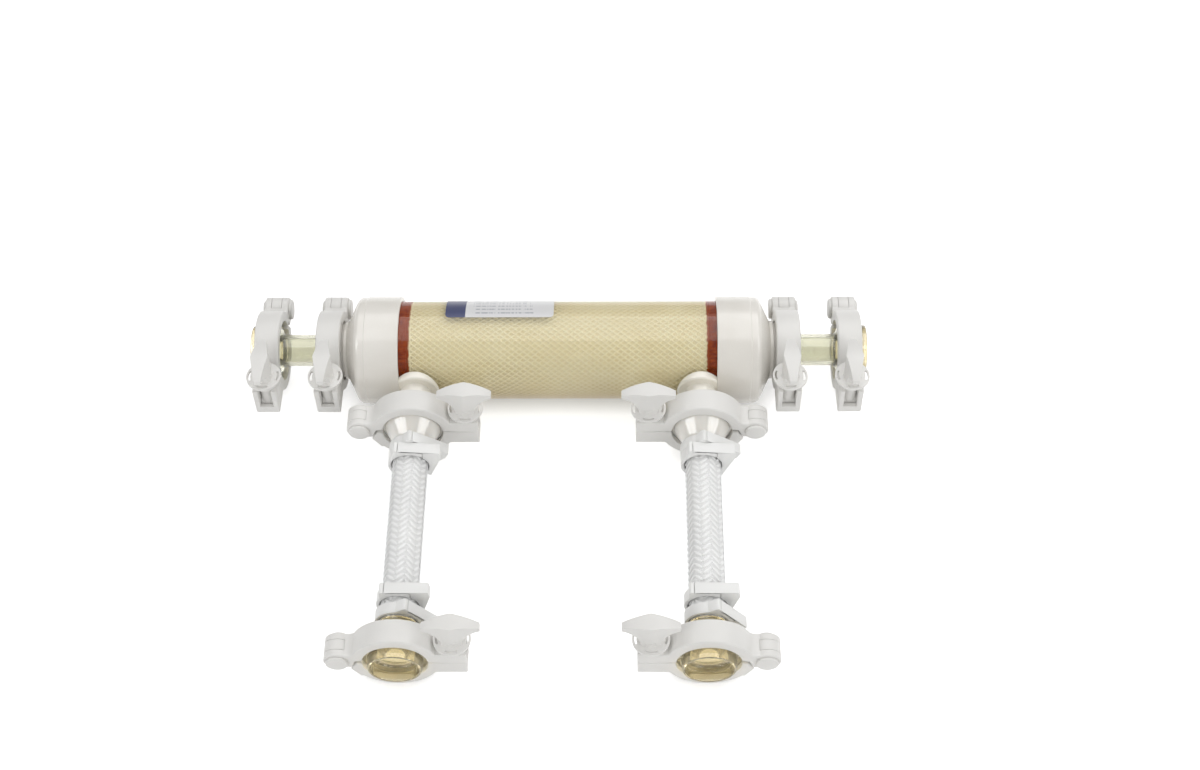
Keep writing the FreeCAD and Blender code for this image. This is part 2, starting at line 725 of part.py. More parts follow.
def clamp_bore(body):
    """The round opening and the sloped groove that draws two ferrules together."""
    lip, half = "Sizes.clamp_opening / 2", "Sizes.clamp_width / 2"
    deep = "Sizes.ferrule_od / 2 + Sizes.rim_gap"
    ease = "Sizes.seat_gap / cos(Sizes.ferrule_slope * 1 deg)"
    at_lip = "(Places.rim_half + %s + (Sizes.ferrule_od / 2 - %s) * Places.slope)" % (ease, lip)
    at_deep = "(Places.rim_half + %s - Sizes.rim_gap * Places.slope)" % ease
    past = "(%s%s)" % (half, PAST)
    groove(body, "opening", [(0, "-" + past), (lip, "-" + past), (lip, "-" + at_lip), (deep, "-" + at_deep),
                             (deep, at_deep), (lip, at_lip), (lip, past), (0, past)])


def clamp_disc(body):
    sketch = new_sketch(body, "ring_outline", "XY_Plane")
    draw_circle(sketch, 0, 0, "Sizes.clamp_od")
    pad(body, "ring", sketch, "Sizes.clamp_width")


def front_faces(shape):
    half = number("Sizes.clamp_width") / 2
    return faces_where(shape, lambda face: abs(abs(face.CenterOfMass.z) - half) < 1e-4)


def pin_hole(body):
    sketch = new_sketch(body, "pin_hole_outline", "XY_Plane")
    draw_circle(sketch, "-Places.hinge_axis", "Sizes.hinge_rise", "Sizes.pin_od + 2 * Sizes.pin_gap")
    pocket(body, "pin_hole", sketch)


def slot_outline(body, name, end, inner):
    """The tail's slot seen from above, between its outer end and the corners of its inner end."""
    sketch = new_sketch(body, name, "XZ_Plane")
    half = "Places.slot_width / 2"
    draw_outline(sketch, [(end, "-" + half), (end, half)] + inner)
    return sketch


def make_upper_jaw():
    body = new_body("upper_jaw")
    clamp_disc(body)
    arms = new_sketch(body, "arms_outline", "XY_Plane")
    hinge, step, tail = "-Places.hinge_axis", "Places.step_place", "Places.tail_end"
    belly = "Sizes.arm_relief - Sizes.step_depth"
    draw_outline(arms, [(tail, 0), (tail, "Sizes.tail_top"), (0, "Sizes.tail_top"), (0, "Sizes.arm_top"),
                        (hinge, "Sizes.arm_top"), (hinge, belly),
                        ("-%s - Sizes.step_slant" % step, belly), (0, 0)])
    pad(body, "arms", arms, "Sizes.clamp_width")
    barrel = new_sketch(body, "barrel_outline", "XY_Plane")
    draw_circle(barrel, hinge, "Sizes.hinge_rise", "Sizes.hinge_od")
    pad(body, "barrel", barrel, "Sizes.clamp_width")
    parting = new_sketch(body, "parting_outline", "XY_Plane")
    lip, open_tail, open_hinge = "Sizes.clamp_opening / 2", "Sizes.parting_tail / 2", "Sizes.hinge_gap_up"
    hook = "-%s - Sizes.step_gap" % step
    draw_outline(parting, [(tail + PAST, 0), (tail + " - Sizes.tail_touch", 0),
                           (lip, open_tail), (0, open_tail), (0, open_hinge), ("-" + lip, open_hinge),
                           (hook, open_hinge + " - Sizes.arm_skin"),
                           (hook + " - Sizes.step_slant", "-Sizes.step_depth"),
                           (hook + " - Sizes.step_slant", "-Sizes.clamp_od"),
                           (tail + PAST, "-Sizes.clamp_od")])
    cut = pocket(body, "parting", parting)
    document.recompute()
    radius, level = number("Sizes.clamp_od / 2"), number("Sizes.arm_top")
    neck = edges_where(body.Shape, lambda e: is_upright_edge(e, -math.sqrt(radius ** 2 - level ** 2), level))
    blend = dress(body, "Fillet", "arm_blend", cut, neck, "Sizes.arm_blend")
    document.recompute()
    dress(body, "Chamfer", "outer_edges", blend, front_faces(body.Shape), "Sizes.clamp_edge")
    clamp_bore(body)
    knuckle = new_sketch(body, "knuckle_slot_outline", "XY_Plane")
    draw_circle(knuckle, hinge, "Sizes.hinge_rise", "Sizes.hinge_od + 2 * Sizes.knuckle_gap")
    pocket(body, "knuckle_slot", knuckle, "Sizes.knuckle_width + 2 * Sizes.knuckle_gap")
    under = new_sketch(body, "arm_slot_outline", "XY_Plane")
    low = "-Places.clamp_radius"
    draw_outline(under, [(hinge, 0), (hinge, low), ("-" + lip, low), ("-" + lip, 0)])
    pocket(body, "arm_slot", under, "Sizes.knuckle_width + 2 * Sizes.knuckle_gap")
    pin_hole(body)
    axis, half = "Places.bolt_axis", "Places.slot_width / 2"
    rounded = [(axis, half, Arc((axis, 0), "x")), (axis, "-" + half)]
    pocket(body, "bolt_slot", slot_outline(body, "bolt_slot_outline", tail + PAST, rounded))
    return body


def make_lower_jaw():
    body = new_body("lower_jaw")
    clamp_disc(body)
    step, slant, depth, tail = "Places.step_place", "Sizes.step_slant", "Sizes.step_depth", "Places.tail_end"
    shoulder = "-Sizes.shoulder_depth"
    arms = new_sketch(body, "arms_outline", "XY_Plane")
    draw_outline(arms, [(tail, 0), (0, 0), ("-" + step, 0), ("-%s - %s" % (step, slant), "-" + depth),
                        ("-%s + Sizes.shoulder_inset" % step, shoulder), (0, shoulder),
                        (0, "-Sizes.tail_bottom"), (tail, "-Sizes.tail_bottom")])
    pad(body, "arms", arms, "Sizes.clamp_width")
    parting = new_sketch(body, "parting_outline", "XY_Plane")
    lip, open_tail, open_hinge = "Sizes.clamp_opening / 2", "Sizes.parting_tail / 2", "Sizes.hinge_gap_down"
    draw_outline(parting, [(tail + PAST, 0), (tail + PAST, "Sizes.clamp_od"),
                           ("-Sizes.clamp_od", "Sizes.clamp_od"), ("-Sizes.clamp_od", "-" + depth),
                           ("-%s - %s" % (step, slant), "-" + depth), ("-" + step, "-" + open_hinge),
                           (0, "-" + open_hinge), (0, "-" + open_tail), (lip, "-" + open_tail),
                           (tail + " - Sizes.tail_touch", 0)])
    cut = pocket(body, "parting", parting)
    document.recompute()
    radius, level = number("Sizes.clamp_od / 2"), number("Sizes.tail_bottom")
    crook = edges_where(body.Shape, lambda e: is_upright_edge(e, math.sqrt(radius ** 2 - level ** 2), -level))
    blend = dress(body, "Fillet", "tail_blend", cut, crook, "Sizes.tail_blend")
    document.recompute()
    dress(body, "Chamfer", "outer_edges", blend, front_faces(body.Shape), "Sizes.clamp_edge")
    hinge, rise, barrel = "-Places.hinge_axis", "Sizes.hinge_rise", "Sizes.hinge_od"
    eye = new_sketch(body, "eye_outline", "XY_Plane")
    draw_circle(eye, hinge, rise, barrel)
    pad(body, "eye", eye, "Sizes.knuckle_width")
    arm = new_sketch(body, "arm_outline", "XY_Plane")
    bottom, root = "%s - %s / 2" % (rise, barrel), "-Sizes.clamp_opening / 2 - Sizes.arm_root"
    under, over = "-%s - Sizes.arm_skin" % depth, "-%s - Sizes.arm_skin" % open_hinge
    draw_outline(arm, [(hinge, rise), (hinge, bottom), ("-%s - %s" % (step, slant), under), (root, under),
                       (root, over), ("-%s - Sizes.arm_shoulder" % step, over)])
    pad(body, "arm", arm, "Sizes.knuckle_width")
    clamp_bore(body)
    pin_hole(body)
    half, square = "Places.slot_width / 2", "Places.bolt_axis - Sizes.bolt_od / 2 - Sizes.bolt_side_gap"
    end, corners = tail + " - Sizes.bar_thickness", [(square, half), (square, "-" + half)]
    pocket(body, "bolt_slot", slot_outline(body, "bolt_slot_outline", end, corners))
    mouth = new_sketch(body, "slot_mouth_outline", "XZ_Plane", "Sizes.tail_bottom - Sizes.bar_height")
    inner = "Places.bolt_axis"
    draw_outline(mouth, [(inner, "-" + half), (tail + PAST, "-" + half), (tail + PAST, half), (inner, half)])
    pocket(body, "slot_mouth", mouth, "Sizes.clamp_od", symmetric=False)
    pivot = new_sketch(body, "pivot_outline", "XY_Plane")
    draw_circle(pivot, inner, "-Sizes.bolt_pivot", "Sizes.trunnion_od + 2 * Sizes.trunnion_gap")
    pocket(body, "pivot", pivot, "Sizes.trunnion_length + 2 * Sizes.trunnion_gap")
    return body


def make_bolt():
    """Bolt with a cross foot that turns in the lower jaw."""
    body = new_body("swing_bolt")
    foot = new_sketch(body, "foot_outline", "XY_Plane")
    reach, pivot = "Places.bolt_axis", "-Sizes.bolt_pivot"
    draw_circle(foot, reach, pivot, "Sizes.bolt_od")
    pad(body, "foot", foot, "Places.slot_width - 2 * Sizes.bolt_side_gap")
    ends = new_sketch(body, "trunnion_outline", "XY_Plane")
    draw_circle(ends, reach, pivot, "Sizes.trunnion_od")
    pad(body, "trunnions", ends, "Sizes.trunnion_length")
    shank = new_sketch(body, "shank_outline", "XZ_Plane", "Sizes.bolt_pivot")
    draw_circle(shank, reach, 0, "Sizes.bolt_od")
    length = "Sizes.bolt_pivot + Sizes.tail_top + Sizes.nut_foot + Sizes.nut_bore_depth - Sizes.bolt_end_gap"
    pad(body, "shank", shank, length, symmetric=False, reverse=True)
    return body


def make_pin():
    """Hinge pin with a broad chamfered head and a smaller button at the other end."""
    body = new_body("hinge_pin")
    shaft, head, button = "Sizes.pin_od / 2", "Sizes.pin_head_od / 2", "Sizes.pin_button_od / 2"
    half, tall, low = "Sizes.clamp_width / 2", "Sizes.pin_head_height", "Sizes.pin_button_height"
    bevel = "Sizes.clamp_edge"
    revolve(body, "pin", [(0, "-%s - %s" % (half, low)), (button + " - " + bevel, "-%s - %s" % (half, low)),
                          (button, "-%s - %s + %s" % (half, low, bevel)), (button, "-" + half),
                          (shaft, "-" + half), (shaft, half),
                          (head, half), (head, "%s + %s - %s" % (half, tall, bevel)),
                          (head + " - " + bevel, "%s + %s" % (half, tall)), (0, "%s + %s" % (half, tall))])
    return body


def make_wing_nut():
    """Wing nut about its own Y axis: foot, round flange, hub and a crowned wing, diamond in plan."""
    body = new_body("wing_nut")
    span, hub, top = "Sizes.nut_span / 2", "Sizes.nut_hub_od / 2", "Sizes.nut_height"
    shoulder = "Sizes.nut_height - Sizes.nut_crown"
    tip = "(%s - Sizes.nut_tip_height)" % shoulder
    root = "(%s - (%s - %s))" % (tip, span, hub)
    crown = "(%s - (%s * %s + Sizes.nut_crown * Sizes.nut_crown) / (2 * Sizes.nut_crown))" % (top, span, span)
    front = new_sketch(body, "wing_outline", "XY_Plane")
    draw_outline(front, [("-" + hub, 0), (hub, 0), (hub, root, Arc((span, root), "y", True)), (span, tip),
                         (span, shoulder, Arc((0, crown), "y")), ("-" + span, shoulder),
                         ("-" + span, tip, Arc(("-" + span, root), "y", True)), ("-" + hub, root)])
    pad(body, "wing", front, "Sizes.nut_depth")
    plan = new_sketch(body, "plan_outline", "XZ_Plane")
    wide, thin, out = "Sizes.nut_depth / 2", "Sizes.nut_tip_depth / 2", "Sizes.nut_depth"
    for x in (-1, 1):
        for z in (-1, 1):
            draw_outline(plan, [(0, "%d * %s" % (z, wide)), ("%d * %s" % (x, span), "%d * %s" % (z, thin)),
                                ("%d * (%s%s)" % (x, span, PAST), "%d * %s" % (z, thin)),
                                ("%d * (%s%s)" % (x, span, PAST), "%d * %s" % (z, out)),
                                (0, "%d * %s" % (z, out))])
    pocket(body, "plan", plan)
    for name, diameter, height in (("flange", "Sizes.nut_flange_od", "Sizes.nut_flange"),
                                   ("hub", "Sizes.nut_hub_od", "Sizes.nut_flange + Sizes.nut_hub_height")):
        sketch = new_sketch(body, name + "_outline", "XZ_Plane")
        draw_circle(sketch, 0, 0, diameter)
        pad(body, name, sketch, height, symmetric=False, reverse=True)
    foot = new_sketch(body, "foot_outline", "XZ_Plane")
    draw_circle(foot, 0, 0, "Sizes.nut_foot_od")
    pad(body, "foot", foot, "Sizes.nut_foot", symmetric=False)
    bore = new_sketch(body, "bore_outline", "XZ_Plane", "Sizes.nut_foot")
    draw_circle(bore, 0, 0, "Sizes.bolt_od + 2 * Sizes.nut_bore_gap")
    pocket(body, "bore", bore, "Sizes.nut_foot + Sizes.nut_bore_depth", symmetric=False)
    slot = new_sketch(body, "slot_outline", "XZ_Plane")
    near = "(Sizes.nut_slot_circle - Sizes.nut_slot_width) / 2"
    far = "(Sizes.nut_slot_circle + Sizes.nut_slot_width) / 2"
    cosine, sine = "cos(Sizes.nut_slot_angle / 2 * 1 deg)", "sin(Sizes.nut_slot_angle / 2 * 1 deg)"
    draw_outline(slot, [("%s * %s" % (near, cosine), "-%s * %s" % (near, sine)),
                        ("%s * %s" % (far, cosine), "-%s * %s" % (far, sine), Arc((0, 0), "x")),
                        ("%s * %s" % (far, cosine), "%s * %s" % (far, sine)),
                        ("%s * %s" % (near, cosine), "%s * %s" % (near, sine), Arc((0, 0), "x", True))])
    first = pocket(body, "flange_slot", slot, "Sizes.nut_flange", symmetric=False)
    ring = body.newObject("PartDesign::PolarPattern", "flange_slots")
    ring.Originals = [first]
    ring.Axis = (slot, ["N_Axis"])
    ring.Angle = 360
    ring.Occurrences = 4
    body.Tip = ring
    return body


def make_clamps():
    upper, lower, bolt = make_upper_jaw(), make_lower_jaw(), make_bolt()
    nut, pin = make_wing_nut(), make_pin()
    pins = []
    for side, word in ((-1, "left"), (1, "right")):
        across = (0, 0, 0, "y", "0 deg" if side < 0 else "180 deg")
        spots = {}
        for spot, station in (("inner", "Places.inner_clamp"), ("outer", "Places.outer_clamp")):
            base = ("%d * %s" % (side, station), "Places.set_back", "Places.axis_height", "z", "-90 deg")
            spots[spot] = frame(base, (0, 0, 0, "x", "90 deg"))
        for spot, station in (("port", "Places.near_clamp"), ("outlet", "Places.far_clamp")):
            spots[spot] = along_leg(side, station) + " * " + frame(across)
        for spot, placement in spots.items():
            tag = "%s_%s" % (spot, word)
            nodes.append(clone("upper_jaw_" + tag, upper, placement))
            nodes.append(clone("lower_jaw_" + tag, lower, placement))
            nodes.append(clone("swing_bolt_" + tag, bolt, placement))
            seat = " * " + frame(("Places.bolt_axis", "Sizes.tail_top + Sizes.nut_foot", 0, "x", "0 deg"))
            nodes.append(clone("wing_nut_" + tag, nut, placement + seat))
            # the broad head faces the cartridge's middle, or the viewer on the legs
            turned = (spot in ("inner", "outer")) == (side < 0) or (spot in ("port", "outlet") and side > 0)
            turn = "180 deg" if turned else "0 deg"
            seat = " * " + frame(("-Places.hinge_axis", "Sizes.hinge_rise", 0, "y", turn))
            pins.append(clone("hinge_pin_" + tag, pin, placement + seat))
    nodes.append(group_of("hinge_pins", pins))


make_housing_tube()
make_bundle()
make_potting()
make_label()
make_end_caps()
make_spools()
make_blind_caps()
make_ports()
make_adapters()
make_hoses()
make_gaskets()
make_clips()
make_clamps()
document.recompute()

# Every object must be sound before anything is written
faults = [item.Name for item in document.Objects if "Invalid" in item.State or "Error" in item.State]
for item in nodes:
    if item.Shape.isNull() or not item.Shape.isValid():
        faults.append(item.Label)
if faults:
    raise RuntimeError("failed objects: " + ", ".join(faults))

os.makedirs("parts", exist_ok=True)
for item in nodes:
    item.Shape.exportStep(os.path.join("parts", item.Label + ".step"))
print("%d nodes, lean %.3f degrees" % (len(nodes), number("Places.lean")))
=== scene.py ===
# %% [markdown]
# # Hollow fibre filter cartridge on a white table
# The cartridge is a clear housing full of cream fibres, closed by two end caps. Two short braided
# hoses leave it, and eight hinged clamps hold every joint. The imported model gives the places, and
# this lesson dresses each piece, from the camera to the last gasket.

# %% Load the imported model
import json
import math
import bpy
import numpy as np
from mathutils import Matrix, Vector


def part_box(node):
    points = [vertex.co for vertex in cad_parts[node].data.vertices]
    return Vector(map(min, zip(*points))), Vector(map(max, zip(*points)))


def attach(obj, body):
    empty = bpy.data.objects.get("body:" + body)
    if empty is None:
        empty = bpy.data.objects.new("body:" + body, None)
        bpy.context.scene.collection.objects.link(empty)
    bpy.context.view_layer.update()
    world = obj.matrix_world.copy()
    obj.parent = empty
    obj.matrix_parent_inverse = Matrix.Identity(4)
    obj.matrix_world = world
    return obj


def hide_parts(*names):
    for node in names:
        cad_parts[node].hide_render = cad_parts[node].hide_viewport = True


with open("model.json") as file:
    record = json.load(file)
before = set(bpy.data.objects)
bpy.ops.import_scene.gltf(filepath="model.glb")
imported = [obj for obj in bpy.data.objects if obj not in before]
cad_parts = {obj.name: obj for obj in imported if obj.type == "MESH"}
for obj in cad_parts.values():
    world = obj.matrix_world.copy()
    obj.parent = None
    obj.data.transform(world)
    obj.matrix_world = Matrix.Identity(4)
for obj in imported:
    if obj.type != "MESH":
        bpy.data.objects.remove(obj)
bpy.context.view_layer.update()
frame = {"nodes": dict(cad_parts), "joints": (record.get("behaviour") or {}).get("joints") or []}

MM = 0.001
view_settings = bpy.context.scene.view_settings
view_settings.view_transform = "Standard"

# %% [markdown]
# ## Camera
# The photograph looks down at about 52 degrees with a long lens, a hair off square. The place and
# the turns come from fitting the round flanges and clamp faces of the photograph.

# %% Camera
ELEVATION, TURN, ROLL = math.radians(52.12), math.radians(1.05), math.radians(-0.90)
LENS, DISTANCE = 56.07, 1.3601
AIM = Vector((0.0304, 0.07508, 0.039))

bpy.ops.object.camera_add()
camera = bpy.context.object
camera.name = "studio_camera"
camera.data.lens = LENS
camera.data.sensor_width = 36.0
camera.data.clip_end = 20.0
turns = Matrix.Rotation(TURN, 4, "Z") @ Matrix.Rotation(math.pi / 2 - ELEVATION, 4, "X")
turns = turns @ Matrix.Rotation(ROLL, 4, "Z")
backward = turns.to_3x3() @ Vector((0, 0, 1))
camera.matrix_world = Matrix.Translation(AIM + backward * DISTANCE) @ turns
bpy.context.scene.camera = camera
print("camera at", [round(v, 3) for v in camera.matrix_world.translation])

# %% [markdown]
# ## Where things are
# Everything round is turned about one of three lines: the cartridge axis along X, and the two legs
# that lean down to the table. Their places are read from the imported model, so a piece lands where
# its solid is.

# %% Axes of the cartridge and the legs
cap_low, cap_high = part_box("end_cap_left")
AXIS_Y, AXIS_Z = (cap_low.y + cap_high.y) / 2, (cap_low.z + cap_high.z) / 2
nut_axis = [j for j in frame["joints"] if j["child"] == "nut_port_left"][0]["axis"]
LEAN = math.atan2(-nut_axis[1], nut_axis[2])
LEG_X = 0.1035


def along_cartridge(side, station=0.0):
    """Local Z points out along the cartridge, on the right (1) or the left (-1)."""
    seat = Matrix.Translation((side * station * MM, AXIS_Y, AXIS_Z))
    return seat @ Matrix.Rotation(side * math.pi / 2, 4, "Y")


def along_leg(side, station=0.0, flip=False):
    """Local Z runs out along a leg, or back towards the cartridge when flipped."""
    seat = Matrix.Translation((side * LEG_X, AXIS_Y, AXIS_Z)) @ Matrix.Rotation(math.pi / 2 + LEAN, 4, "X")
    seat = seat @ Matrix.Translation((0, 0, station * MM))
    return seat @ Matrix.Rotation(math.pi, 4, "Y") if flip else seat


print("axis at y %.1f z %.1f mm, legs lean %.2f degrees" % (AXIS_Y / MM, AXIS_Z / MM, math.degrees(LEAN)))

# %% [markdown]
# ## Table and light
# The object lies on white with only close, soft shadows. The table is a plain pale plane that also
# glows towards the camera, so it reads as white paper. The glow fades beside whatever stands on it,
# a painted contact shadow that leaves a dark line under each contact. One softbox hangs behind and
# above, and two weaker ones stand in front.

# %% Helpers: empty material, rays that see the background
def new_material(name):
    material = bpy.data.materials.new(name)
    material.use_nodes = True
    material.node_tree.nodes.clear()
    return material, material.node_tree.nodes, material.node_tree.links


def math_node(nodes, links, operation, first, second):
    """One Math node; an input is a socket or a plain number."""
    node = nodes.new("ShaderNodeMath")
    node.operation = operation
    for i, value in enumerate((first, second)):
        if isinstance(value, (int, float)):
            node.inputs[i].default_value = value
        else:
            links.new(value, node.inputs[i])
    return node.outputs[0]


def sees_background(nodes, links):
    """1 for the camera, mirrors and glass, which see plain white; 0 for light that only bounces."""
    rays = nodes.new("ShaderNodeLightPath").outputs
    camera_or_gloss = math_node(nodes, links, "MAXIMUM", rays["Is Camera Ray"], rays["Is Glossy Ray"])
    return math_node(nodes, links, "MAXIMUM", camera_or_gloss, rays["Is Transmission Ray"])


# %% Table
GLOW, CONTACT_GLOW, CONTACT_REACH = 0.62, 0.15, 14.0
bpy.ops.object.select_all(action="DESELECT")
bpy.ops.mesh.primitive_plane_add(size=12.0, location=(0, 0, 0))
table = bpy.context.object
table.name = "table"

paper, nodes, links = new_material("white_paper")
matte = nodes.new("ShaderNodeBsdfDiffuse")
matte.inputs["Color"].default_value = (0.86, 0.86, 0.86, 1)
glow = nodes.new("ShaderNodeEmission")
# painted contact shadow: ambient occlusion dims the camera glow close to anything on the table
painted_shadow_ao = nodes.new("ShaderNodeAmbientOcclusion")
painted_shadow_ao.samples = 8
painted_shadow_ao.inputs["Distance"].default_value = CONTACT_REACH * MM
contact_shadow_fade = nodes.new("ShaderNodeMapRange")
contact_shadow_fade.inputs["To Min"].default_value = CONTACT_GLOW
links.new(painted_shadow_ao.outputs["AO"], contact_shadow_fade.inputs["Value"])
strength = math_node(nodes, links, "MULTIPLY", sees_background(nodes, links), GLOW)
links.new(math_node(nodes, links, "MULTIPLY", strength, contact_shadow_fade.outputs["Result"]), glow.inputs["Strength"])
joined = nodes.new("ShaderNodeAddShader")
out = nodes.new("ShaderNodeOutputMaterial")
links.new(matte.outputs[0], joined.inputs[0])
links.new(glow.outputs[0], joined.inputs[1])
links.new(joined.outputs[0], out.inputs["Surface"])
table.data.materials.append(paper)

# %% Room
ROOM_LIGHT = 0.76
world = bpy.data.worlds.new("studio")
bpy.context.scene.world = world
world.use_nodes = True
nodes, links = world.node_tree.nodes, world.node_tree.links
nodes.clear()
level = nodes.new("ShaderNodeMapRange")
level.inputs["To Min"].default_value = ROOM_LIGHT
level.inputs["To Max"].default_value = 1.0
room = nodes.new("ShaderNodeBackground")
out = nodes.new("ShaderNodeOutputWorld")
links.new(sees_background(nodes, links), level.inputs["Value"])
links.new(level.outputs[0], room.inputs["Strength"])
links.new(room.outputs[0], out.inputs["Surface"])
print("room light", ROOM_LIGHT, "table glow", GLOW)

# %% Softboxes
LOOK_AT = Vector((0, 0.05, 0.03))


def softbox(name, place, width, height, power):
    """A rectangular softbox that looks at the middle of the object."""
    bpy.ops.object.light_add(type="AREA", location=place)
    lamp = bpy.context.object
    lamp.name = name
    lamp.data.shape = "RECTANGLE"
    lamp.data.size, lamp.data.size_y = width, height
    lamp.data.energy = power
    lamp.rotation_euler = (LOOK_AT - Vector(place)).to_track_quat("-Z", "Y").to_euler()


softbox("softbox_above", (0.40, 0.80, 1.25), 1.6, 1.0, 6.0)
softbox("softbox_left", (-1.05, -0.90, 0.75), 0.9, 0.8, 3.2)
softbox("softbox_right", (1.05, -0.90, 0.75), 0.9, 0.8, 4.2)

# %% [markdown]
# Smooth plastic is told by what it mirrors. Three white cards give it something to mirror: one
# overhead, which draws the pale band along the tube, and one each side, which draw the paired bright
# windows on the hose adapters. Every other ray goes straight through them.

# %% Cards that only show in reflections
def shine_card(name, place, width, height, strength):
    """A card that glossy surfaces mirror, and that is clear to every other ray."""
    bpy.ops.object.select_all(action="DESELECT")
    bpy.ops.mesh.primitive_plane_add(size=1.0, location=(0, 0, 0))
    card = bpy.context.object
    card.name = name
    turn = (LOOK_AT - Vector(place)).to_track_quat("-Z", "Y")
    card.matrix_world = Matrix.LocRotScale(Vector(place), turn, Vector((width, height, 1)))
    bright, nodes, links = new_material(name)
    rays = nodes.new("ShaderNodeLightPath")
    clear = nodes.new("ShaderNodeBsdfTransparent")
    light = nodes.new("ShaderNodeEmission")
    light.inputs["Strength"].default_value = strength
    mix = nodes.new("ShaderNodeMixShader")
    out = nodes.new("ShaderNodeOutputMaterial")
    links.new(rays.outputs["Is Glossy Ray"], mix.inputs["Fac"])
    links.new(clear.outputs[0], mix.inputs[1])
    links.new(light.outputs[0], mix.inputs[2])
    links.new(mix.outputs[0], out.inputs["Surface"])
    card.data.materials.append(bright)


shine_card("card_above", (0.0, 0.43, 1.38), 2.4, 1.70, 3.6)
shine_card("card_left", (-1.17, -0.45, 0.93), 0.8, 1.1, 7.0)
shine_card("card_right", (1.17, -0.45, 0.93), 0.8, 1.1, 7.0)

# %% [markdown]
# ## Finishes
# The opaque parts are moulded plastic: a base colour that drifts a little, a roughness that drifts
# with it, and a very fine bump from the mould. One helper mixes these from the same few dials.

# %% Helpers: noise and colour
def noise_on(nodes, links, scale, detail=3.0, stretch=(1, 1, 1)):
    """Noise in object space; stretch squeezes it along one axis for a grain."""
    where = nodes.new("ShaderNodeTexCoord")
    squeeze = nodes.new("ShaderNodeMapping")
    squeeze.inputs["Scale"].default_value = stretch
    noise = nodes.new("ShaderNodeTexNoise")
    noise.inputs["Scale"].default_value = scale
    noise.inputs["Detail"].default_value = detail
    links.new(where.outputs["Object"], squeeze.inputs["Vector"])
    links.new(squeeze.outputs["Vector"], noise.inputs["Vector"])
    return noise.outputs["Fac"]


def spread_range(nodes, links, value, low, high):
    """Noise lies near a half, so its middle is spread over the wanted range."""
    fit = nodes.new("ShaderNodeMapRange")
    fit.inputs["From Min"].default_value = 0.35
    fit.inputs["From Max"].default_value = 0.65
    fit.inputs["To Min"].default_value = low
    fit.inputs["To Max"].default_value = high
    links.new(value, fit.inputs["Value"])
    return fit.outputs["Result"]


def two_colours(nodes, links, factor, first, second):
    mix = nodes.new("ShaderNodeMix")
    mix.data_type = "RGBA"
    mix.inputs["A"].default_value = first + (1,)
    mix.inputs["B"].default_value = second + (1,)
    links.new(factor, mix.inputs["Factor"])
    return mix.outputs["Result"]


# %% Helper: moulded plastic
def plastic(name, pale, deep, gloss, bump=0.02, coat=0.0, subsurface=0.0):
    """Moulded plastic: pale and deep are the ends of its colour drift, gloss its roughness range."""
    material, nodes, links = new_material(name)
    shader = nodes.new("ShaderNodeBsdfPrincipled")
    out = nodes.new("ShaderNodeOutputMaterial")
    drift = noise_on(nodes, links, 28.0, 2.0)
    grain = noise_on(nodes, links, 1400.0, 2.0)
    colour = two_colours(nodes, links, spread_range(nodes, links, drift, 0, 1), pale, deep)
    links.new(colour, shader.inputs["Base Color"])
    links.new(spread_range(nodes, links, grain, gloss[0], gloss[1]), shader.inputs["Roughness"])
    raised = nodes.new("ShaderNodeBump")
    raised.inputs["Strength"].default_value = bump
    raised.inputs["Distance"].default_value = 0.0004
    links.new(grain, raised.inputs["Height"])
    links.new(raised.outputs["Normal"], shader.inputs["Normal"])
    shader.inputs["Specular IOR Level"].default_value = 0.35
    shader.inputs["Coat Weight"].default_value = coat
    shader.inputs["Coat Roughness"].default_value = 0.08
    if subsurface > 0:
        shader.inputs["Subsurface Weight"].default_value = subsurface
        shader.inputs["Subsurface Radius"].default_value = (1.0, 0.9, 0.75)
        shader.inputs["Subsurface Scale"].default_value = 0.003
    links.new(shader.outputs[0], out.inputs["Surface"])
    return material


# %% Opaque finishes
clamp_white = plastic("clamp_white", (0.80, 0.79, 0.765), (0.765, 0.755, 0.73), (0.38, 0.50), 0.03)
clip_white = plastic("clip_white", (0.87, 0.87, 0.855), (0.845, 0.845, 0.83), (0.36, 0.46), 0.03)
cap_ivory = plastic("cap_ivory", (0.835, 0.81, 0.76), (0.765, 0.735, 0.68), (0.18, 0.28), 0.01, coat=0.2)
# painted light: the ports are the caps' plastic, with the colour lifted to make up for the shade they sit in
# beside the tube
port_ivory_painted_light = plastic("port_ivory_painted_light", (0.95, 0.92, 0.84), (0.92, 0.885, 0.80), (0.18, 0.26), 0.01, coat=0.3)
milky = plastic("natural_adapter", (0.86, 0.84, 0.79), (0.82, 0.795, 0.745), (0.16, 0.22), 0.006,
                coat=0.75, subsurface=0.4)
gasket_white = plastic("gasket_white", (0.74, 0.73, 0.69), (0.68, 0.66, 0.61), (0.45, 0.6), 0.05)

# %% [markdown]
# The clear parts are of three kinds. The hose skin is thin and lets the view straight through. The
# small thick mouldings really bend the view. The housing bends it at its outer face only, because
# its bore is wetted by the bundle and the resin, so fibres and potting fill the tube to its edge.

